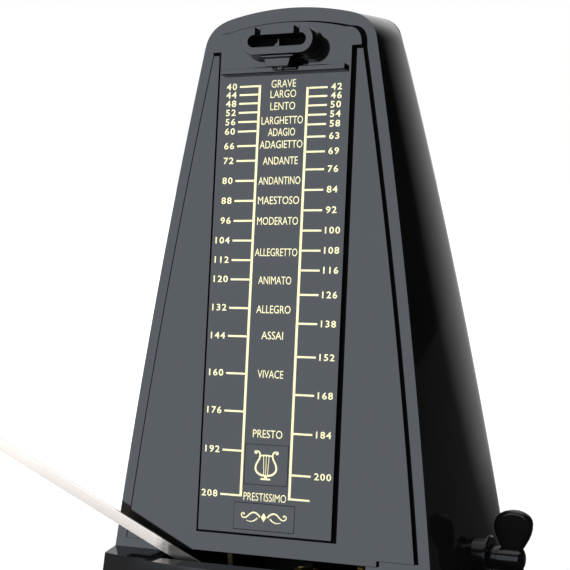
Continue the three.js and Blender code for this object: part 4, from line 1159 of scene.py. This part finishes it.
def flourish():
    """A symmetrical scroll with a lozenge in its middle."""
    scroll = bezier_path([(1.15, 0.0), (2.2, 1.5), (3.6, 1.6), (4.6, 0.5), (5.3, -0.3),
                          (6.3, -0.8), (6.9, 0.0), (7.3, 0.65), (6.6, 1.35), (6.1, 0.75)])
    leaf = bezier_path([(2.0, -0.25), (3.0, -1.5), (4.4, -1.6), (5.4, -1.05)])
    scrolls = [gilt_line(path, 0.5, 0.45) for path in (scroll, flipped(scroll))]
    leaves = [gilt_line(path, 0.42, 0.3) for path in (leaf, flipped(leaf))]
    tips = [gilt_dot(side * 6.25, 0.75, 0.34) for side in (-1, 1)]
    lozenge = prism([(-0.85, 0), (0, -1.25), (0.85, 0), (0, 1.25)], GILT_FRONT, GILT_BACK)
    return joined([*scrolls, *leaves, *tips, lozenge])


# painted shade in the hairline gaps round the badges
on_face(badge_outlines(), "badge_outlines", PAINTED_SHADE_BLACK, "plate_gloss")
on_face(inlays(), "scale_inlays", INLAY_BLACK, "plate_gloss")
on_face(lyre(), "lyre_ornament", PRINT_GOLD, "plate_gloss", middle=(EMBLEM[1] + EMBLEM[2]) / 2)
on_face(flourish(), "scroll_ornament", PRINT_GOLD, "plate_gloss",
        middle=(BADGE[1] + BADGE[2]) / 2)


# ------------------------------------------------------------ rod catch

def stadium(half, tall, steps=12):
    """Points clockwise round a stadium, from the top's right end to its left end."""
    radius = tall / 2
    right = [(half - radius + radius * math.sin(math.pi * step / steps),
              radius * math.cos(math.pi * step / steps)) for step in range(steps + 1)]
    return right + [(-x, -z) for x, z in right]


def ring_section(wall, front, back):
    """A wall that grows inwards from its path."""
    return [(-wall, front), (0, front), (0, back), (-wall, back)]


def keystone(low_half, low, high_half, high, front, back):
    """A symmetrical block whose half width changes from its bottom to its top."""
    return prism([(-low_half, low), (low_half, low), (high_half, high), (-high_half, high)],
                 front, back)


def rod_catch():
    """A hollow ring on the plate's head: notched on top, a hook in it, a tongue below."""
    path = stadium(CATCH_HALF, CATCH_TALL)
    top = CATCH_TALL / 2
    inner_low = CATCH_WALL - top             # the inner wall's height below the middle
    notch_in = CATCH_NOTCH - CATCH_NOTCH_WIDE / 2
    notch_out = CATCH_NOTCH + CATCH_NOTCH_WIDE / 2
    split = -CATCH_PROUD + CATCH_NOTCH_DEEP
    around = [(notch_out, top)] + path + [(-notch_out, top)]
    rim = swept(around, ring_section(CATCH_WALL, -CATCH_PROUD, split + 0.2), False)
    tab = slab(-notch_in, notch_in, -CATCH_PROUD, split + 0.2, -inner_low - 0.15, top)
    root = swept(path, ring_section(CATCH_WALL, split, -FIT), True)
    skirt = swept(path, [(-1, -1.0), (0.1, -1.0), (0.45, -0.75), (0.45, -FIT), (-1, -FIT)], True)
    wedge = prism([(-1.4, inner_low - 0.2), (0.65, inner_low - 0.2), (0.65, inner_low + 1.3),
                   (0.0, inner_low + 1.15), (-0.6, inner_low + 0.7)], WEDGE_FRONT, -1.2)
    spike = prism([(0.05, inner_low - 0.2), (0.6, inner_low - 0.2), (0.52, CATCH_SPIKE),
                   (0.2, CATCH_SPIKE)], SPIKE_FRONT, -1.25)
    ring = [round_face(rim, -CATCH_PROUD, 0.28), round_face(tab, -CATCH_PROUD, 0.28), root,
            skirt, round_face(wedge, WEDGE_FRONT, 0.1, 2), round_face(spike, SPIKE_FRONT, 0.1, 2)]
    lips = [round_face(keystone(*widths_and_heights, front, -TONGUE_PROUD + 1.2), front, 0.22)
            for *widths_and_heights, front in (
                (3.5, TONGUE_LOW, 4.15, TONGUE_HIGH - 0.85, -TONGUE_PROUD),
                (4.9, TONGUE_HIGH - 0.65, 5.15, TONGUE_HIGH + 0.1, -TONGUE_PROUD - 0.15))]
    core = keystone(3.1, TONGUE_LOW + 0.5, 4.0, TONGUE_HIGH + 0.4, -TONGUE_PROUD + 0.7, CATCH_SEAT)
    lug = slab(LUG_LEFT, LUG_RIGHT, -LUG_PROUD, CATCH_SEAT, LUG_LOW, TONGUE_LOW + 0.7)
    return joined([*(moved(part, shift(0, 0, -CATCH_DROP)) for part in ring), *lips, core,
                   round_face(lug, -LUG_PROUD, 0.25, 2)])


def catch_hollow():
    """The inside of the ring in painted shade: its floor and a thin dead-black lining of its wall.
    """
    lining = stadium(CATCH_HALF - CATCH_WALL + 0.1, CATCH_TALL - 2 * CATCH_WALL + 0.2)
    hollow = swept(lining, ring_section(0.25, -CATCH_PROUD + 0.9, -CATCH_FLOOR), True)
    return add(hollow, prism(stadium(CATCH_HALF - 1, CATCH_TALL - 2), -CATCH_FLOOR, CATCH_SEAT))


# painted shade: the ring's unlit inside
on_face(catch_hollow(), "rod_catch_hollow", PAINTED_SHADE_BLACK, "catch_gloss",
        middle=CATCH_HEIGHT - CATCH_DROP)
on_face(rod_catch(), "rod_catch_ring", CATCH_BLACK, "catch_gloss", "rod_catch", CATCH_HEIGHT)


# ------------------------------------------------------------ screws

def slotted_screw(head, tall, shank, reach, slot_wide, slot_deep):
    """About +Z with its head's face at z = 0 looking down, its shank rising to reach."""
    screw = turned([(0, slot_deep), (head - 0.25, slot_deep), (head, slot_deep + 0.25),
                    (head, tall), (shank, tall), (shank, reach - 0.4), (shank - 0.3, reach),
                    (0, reach)], 28)
    for side in (-1, 1):
        cheek = bmesh.new()
        bmesh.ops.create_circle(cheek, cap_ends=True, segments=40, radius=head - 0.05)
        bmesh.ops.bisect_plane(cheek, geom=cheek.verts[:] + cheek.edges[:] + cheek.faces[:],
                               plane_co=(side * slot_wide / 2, 0, 0), plane_no=(-side, 0, 0),
                               clear_outer=True)
        closed(raised(cheek, cheek.faces[:], (0, 0, slot_deep + 0.1)))
        add(screw, round_face(cheek, 0.0, min(0.15, slot_deep / 2), 2, axis=2))
    return screw


def faces_front(x, y, z):
    """Turns a shape about +Z so that its low end looks out along -Y."""
    return shift(x, y, z) @ Matrix.Rotation(-QUARTER, 4, "X")


CATCH_SCREW_PROUD = LUG_PROUD + 0.8
piece(slotted_screw(head=0.8, tall=0.5, shank=0.5, reach=CATCH_SCREW_PROUD + PLATE_THICK - FIT,
                    slot_wide=0.26, slot_deep=0.22),
      "catch_screw_head", DULL_STEEL, "case", "screw_steel", ("catch_screw",),
      FACE @ faces_front(0, -CATCH_SCREW_PROUD, CATCH_HEIGHT - 7.55))


# ------------------------------------------------------------ pendulum

def pendulum_rod():
    """A flat strip: its top corners cut, an eye where it turns."""
    half, thick = ROD_WIDE / 2, ROD_THICK / 2
    upper = prism([(-half, ROD_EYE - 1), (half, ROD_EYE - 1), (half, ROD_TOP - 1),
                   (half - 0.8, ROD_TOP), (-half + 0.8, ROD_TOP), (-half, ROD_TOP - 1)],
                  -thick, thick)
    lower = keystone(half, ROD_LOW, half, -ROD_EYE + 1, -thick, thick)
    path = [(ROD_EYE * math.sin(turn * math.pi / 18), ROD_EYE * math.cos(turn * math.pi / 18))
            for turn in range(36)]
    eye = swept(path, ring_section(ROD_EYE - ROD_BORE, -thick, thick), True)
    return joined([round_edges(upper, ROD_EDGE), round_edges(lower, ROD_EDGE),
                   round_edges(eye, ROD_EDGE, angle=60)])


def sliding_weight():
    """A tapered block, wider at the top, in front of and behind the rod."""
    gap = ROD_THICK / 2 + FIT
    side = ROD_WIDE / 2 + FIT
    wide, narrow, half = WEIGHT_WIDE / 2, WEIGHT_NARROW / 2, WEIGHT_HALF
    front = keystone(narrow, -half, wide, half, WEIGHT_FRONT, -gap)
    back = keystone(narrow, -half, wide, half, gap, WEIGHT_BACK)
    cheeks = [prism([(way * side, -half), (way * narrow, -half), (way * wide, half),
                     (way * side, half)], -gap, gap) for way in (-1, 1)]
    grip = WEIGHT_FRONT - 0.25
    ridges = [round_face(slab(-narrow * 0.72, narrow * 0.72, grip, WEIGHT_FRONT + 0.4,
                              along - 0.35, along + 0.35), grip, 0.24)
              for along in (half - 2.2, half - 3.4, -half + 3.4, -half + 2.2)]
    return joined([round_face(front, WEIGHT_FRONT, 0.7, 4), round_face(back, WEIGHT_BACK, 0.3),
                   *cheeks, *ridges])


piece(pendulum_rod(), "rod_strip", ROD_STEEL, "pendulum", "rod_steel", ("pendulum_rod",), PENDULUM)
piece(sliding_weight(), "tempo_weight", CHROME, "weight", "weight_steel", ("sliding_weight",),
      PENDULUM @ shift(0, 0, WEIGHT_REST))


# ------------------------------------------------------------ winding key

def key_wing():
    """One rounded wing of the key, its shaft along +X, standing up from it."""
    crest = KEY_SPAN + 1.2
    out = KEY_HUB_RIGHT + KEY_FLARE
    low, high = KEY_HUB_LEFT, KEY_HUB_RIGHT
    left = bezier_path([(low + 1.6, KEY_NECK), (low + 1.4, KEY_LOBE / 2),
                        (low - 1.2, KEY_LOBE * 2 / 3), (low - 0.6, KEY_LOBE)])
    crown = bezier_path([(low - 0.6, KEY_LOBE), (low, crest), (out, crest), (out, KEY_LOBE)], 14)
    right = bezier_path([(out, KEY_LOBE), (out, KEY_LOBE * 0.62), (high, KEY_LOBE * 0.38),
                         (high - 1.2, KEY_NECK)])
    half = KEY_THICK / 2
    wing = prism(left + crown[1:] + right[1:], -half, half)
    return round_edges(wing, 1.1, 4, 60, chosen=lambda edge: abs(
        edge.verts[0].co.y - edge.verts[1].co.y) < MERGE)


def winding_key():
    """The key with its hollow shaft, its hub and its two wings."""
    left, core, end = KEY_SHAFT_LEFT, KEY_SHAFT_CORE, KEY_HUB_LEFT + 1
    shaft = turned([(core, left), (KEY_SHAFT - 0.3, left), (KEY_SHAFT, left + 0.3),
                    (KEY_SHAFT, end), (core, end), (core, left)], 36)
    hub = turned([(0, KEY_HUB_LEFT), (KEY_HUB - 0.5, KEY_HUB_LEFT),
                  (KEY_HUB, KEY_HUB_LEFT + 0.5), (KEY_HUB, KEY_HUB_RIGHT - 1.4),
                  (KEY_HUB - 0.4, KEY_HUB_RIGHT - 0.5), (KEY_HUB - 1.4, KEY_HUB_RIGHT),
                  (0, KEY_HUB_RIGHT)], 36)
    return joined([along_x(shaft), along_x(hub), key_wing(),
                   moved(key_wing(), Matrix.Rotation(math.pi, 4, "X"))])


def key_bush():
    """The flanged bush in the side wall that the key's shaft turns in."""
    bore, barrel, flange = KEY_SHAFT + FIT, KEY_BUSH_RADIUS, KEY_BUSH_FLANGE
    left, seat, right = KEY_BUSH_LEFT, KEY_BUSH_SEAT, KEY_BUSH_RIGHT
    return along_x(turned([(bore, left), (barrel - 0.3, left), (barrel, left + 0.3),
                           (barrel, seat), (flange, seat), (flange, right - 0.4),
                           (flange - 0.4, right), (bore + 0.3, right), (bore, right - 0.3),
                           (bore, left)], 48))


WINDING_PLACE = shift(*WINDING)
piece(winding_key(), "key_moulding", KEY_BLACK, "winding", "key_gloss", ("winding_key",),
      WINDING_PLACE)
piece(key_bush(), "key_hole_bush", KEY_BLACK, "case", "cover_plastic", ("key_bush",),
      WINDING_PLACE)


# ------------------------------------------------------------ feet and cover screws

def foot():
    """A turned rubber foot with two grip rings under it."""
    low, groove = FLOOR, FLOOR + 0.3
    return turned([(0, groove), (1.6, groove), (1.9, low), (2.7, low), (3.0, groove),
                   (3.6, groove), (3.9, low), (5.2, low), (5.7, low + 0.15), (5.95, low + 0.6),
                   (6.0, -1.0), (6.0, 1.0), (0, 1.0)], 48)


for row, y_side in (("front", -1), ("rear", 1)):
    for hand, x_side in (("left", -1), ("right", 1)):
        corner = f"{row}_{hand}"
        piece(foot(), f"foot_pad_{corner}", FOOT_RUBBER, "case", "foot_rubber",
              (f"foot_{corner}",), shift(x_side * FOOT_PLACE[0], y_side * FOOT_PLACE[1], 0))
        piece(slotted_screw(head=2.8, tall=1.2, shank=1.3, reach=11.5, slot_wide=0.8,
                            slot_deep=0.7),
              f"base_screw_{corner}", SCREW_STEEL, "case", "screw_steel",
              (f"cover_screw_{corner}",),
              shift(x_side * COVER_SCREW_PLACE[0], y_side * COVER_SCREW_PLACE[1], 0.5))


# ------------------------------------------------------------ clockwork

# the rest of the movement keeps its nodes' own shapes; each piece rides on its node's body, and
# its node's slot picks its finish
NODE_BODY = {node: body for body, nodes in frame["record"]["behaviour"]["bodies"].items()
             for node in nodes}
NODE_SLOT = {part["node"]: part["material_slot"] for part in frame["record"]["subparts"]}
SLOT_FINISH = {
    "plate_brass": SHADED_PLATE_BRASS, "wheel_brass": WHEEL_BRASS, "arbor_steel": TURNED_STEEL,
    "screw_steel": SCREW_STEEL, "ratchet_steel": HARD_STEEL, "base_steel": ZINC_STEEL,
    "spring_steel": SPRING_BLUE, "bob_iron": BOB_IRON, "cover_plastic": COVER_BLACK,
}

# how far the edges of each node are broken, in millimetres
BROKEN_EDGE = {
    "bottom_cover": 0.5, "movement_base": 0.15, "movement_plate": 0.15, "movement_screw": 0.15,
    "pillar": 0.2, "potence": 0.15, "front_cock": 0.2, "rear_cock": 0.2, "click": 0.1,
    "great_wheel": 0.08, "centre": 0.08, "escape": 0.06, "mainspring": 0.04,
    "ratchet_wheel": 0.1, "winding_arbor": 0.15, "pendulum_arbor": 0.12,
    "counterweight": 0.7, "pallet": 0.06, "weight_spring": 0.05,
}


def dressed(node, width):
    """A node's own shape with its edges broken, standing for that node."""
    bm = bmesh.new()
    bm.from_mesh(frame["nodes"][node].data)
    bmesh.ops.scale(bm, vec=(1 / MM, 1 / MM, 1 / MM), verts=bm.verts)
    bmesh.ops.remove_doubles(bm, verts=bm.verts, dist=10 * MERGE)
    bmesh.ops.dissolve_limit(bm, angle_limit=math.radians(0.5), verts=bm.verts[:],
                             edges=bm.edges[:], use_dissolve_boundaries=False)
    round_edges(bm, width, 2, 32)
    slot = NODE_SLOT[node]
    piece(bm, f"{node}_finished", SLOT_FINISH[slot], NODE_BODY[node], slot, (node,))


for kind, broken in BROKEN_EDGE.items():
    for clockwork_node in sorted(NODE_SLOT):
        if clockwork_node == kind or clockwork_node.startswith(kind + "_"):
            dressed(clockwork_node, broken)


# ------------------------------------------------------------ camera, light and floor

LENS = 91.58
SENSOR = 36
CAMERA_PLACE = Vector((171.9, -399.5, 175.7)) * MM
CAMERA_RIGHT = Vector((0.91324, 0.40658, -0.02625))
CAMERA_UP = Vector((-0.01335, 0.09425, 0.99546))
CAMERA_BACK = Vector((0.40720, -0.90874, 0.09150))

FILL = 0.35                   # the even light from all round
BACKDROP = 0.75               # what polished pieces mirror behind and to the left
BACKDROP_FALL = (-0.03, 0.36)      # where it fades towards the right
FRONT_FALL = (-0.5, -0.1)          # and towards the front, down to a share
FRONT_SHARE = 0.3
FLOOR_HALF = 6.0              # in metres, as all lamps and distances from here on
FLOOR_BACKDROP = (0.2, 0.6, 0.02, BACKDROP)      # its mirrored light by distance
FLOOR_GLOW = (0.25, 1.0, 0.14, 1.0)              # and its own, which keeps the shadow near


def camera():
    """The view, from the right and a little above."""
    data = bpy.data.cameras.new("view")
    data.lens = LENS
    data.sensor_width = SENSOR
    data.clip_start = 0.01
    made = bpy.data.objects.new("view", data)
    bpy.context.scene.collection.objects.link(made)
    turn = Matrix((CAMERA_RIGHT, CAMERA_UP, CAMERA_BACK)).transposed().to_4x4()
    made.matrix_world = Matrix.Translation(CAMERA_PLACE) @ turn
    bpy.context.scene.camera = made


def softbox(name, place, aim, width, height, power, colour=(1, 1, 1)):
    """A lamp panel that faces its aim."""
    data = bpy.data.lights.new(name, "AREA")
    data.shape = "RECTANGLE"
    data.size = width
    data.size_y = height
    data.energy = power
    data.color = colour
    made = bpy.data.objects.new(name, data)
    bpy.context.scene.collection.objects.link(made)
    made.location = place
    made.rotation_mode = "QUATERNION"
    made.rotation_quaternion = (Vector(aim) - Vector(place)).to_track_quat("-Z", "Y")


def backdrop_share(finish, vector):
    """How bright the studio is in a direction or at a place, from 0 to 1."""
    unit = finish.node("VectorMath", {"operation": "NORMALIZE"}, {0: vector}, "Vector")
    across = finish.node("SeparateXYZ", {}, {0: unit}, "X")
    deep = finish.node("SeparateXYZ", {}, {0: unit}, "Y")
    return (finish.level(across, *BACKDROP_FALL, 1, 0)
            * finish.level(deep, *FRONT_FALL, FRONT_SHARE, 1))


def floor():
    """The pale floor: it glows where it is seen, and less close to the feet."""
    bm = bmesh.new()
    bmesh.ops.create_grid(bm, x_segments=1, y_segments=1, size=FLOOR_HALF)
    bmesh.ops.translate(bm, vec=(0, 0, FLOOR * MM), verts=bm.verts)
    mesh = bpy.data.meshes.new("floor")
    bm.to_mesh(mesh)
    bm.free()
    made = bpy.data.objects.new("floor", mesh)
    bpy.context.scene.collection.objects.link(made)
    finish = Finish("floor_white", {"Roughness": 0.9, "Emission Strength": 1.0})
    seen = finish.node("LightPath", output="Is Camera Ray")
    mirrored_ray = finish.node("LightPath", output="Is Glossy Ray")
    away = finish.node("VectorMath", {"operation": "LENGTH"}, {0: finish.place}, "Value")
    backdrop = backdrop_share(finish, finish.place) * finish.level(away, *FLOOR_BACKDROP)
    seen_glow = finish.level(away, *FLOOR_GLOW)
    finish.use("Base Color", finish.tint(mirrored_ray, (0.9,) * 3, (0.0,) * 3))
    glow = finish.node("CombineColor", {}, {name: seen * seen_glow + mirrored_ray * backdrop
                                            for name in ("Red", "Green", "Blue")})
    finish.use("Emission Color", glow)
    made.data.materials.append(finish.material)


def studio_world():
    """White behind and to the left, black on the right, and an even soft fill."""
    world = bpy.data.worlds.new("studio")
    bpy.context.scene.world = world
    world.use_nodes = True
    world.node_tree.nodes.clear()
    sky = Surround(world.node_tree)
    direction = sky.node("TexCoord", output="Generated")
    backdrop = backdrop_share(sky, direction) * BACKDROP
    seen = sky.node("LightPath", output="Is Camera Ray")
    clear = sky.node("LightPath", output="Is Transmission Ray")
    mirrored_ray = sky.node("LightPath", output="Is Glossy Ray")
    level = sky.node("Mix", {"data_type": "FLOAT"}, {0: mirrored_ray, 2: FILL, 3: backdrop})
    white = sky.node("Math", {"operation": "MAXIMUM"}, {0: seen, 1: clear})
    strength = sky.node("Math", {"operation": "MAXIMUM"}, {0: white, 1: level})
    light = sky.node("Background", {}, {"Color": (1, 1, 1, 1), "Strength": strength})
    sky.node("OutputWorld", {}, {"Surface": light}, None)


camera()
softbox("front_box", (-0.44, -1.03, 0.40), (0, 0, 0.14), width=1.3, height=1.0, power=11.2,
        colour=(0.80, 0.885, 1.0))
softbox("top_box", (-0.1, 0.1, 1.3), (0, 0, 0.1), width=1.4, height=1.4, power=14)
floor()
studio_world()

bpy.context.scene.view_settings.view_transform = "Standard"
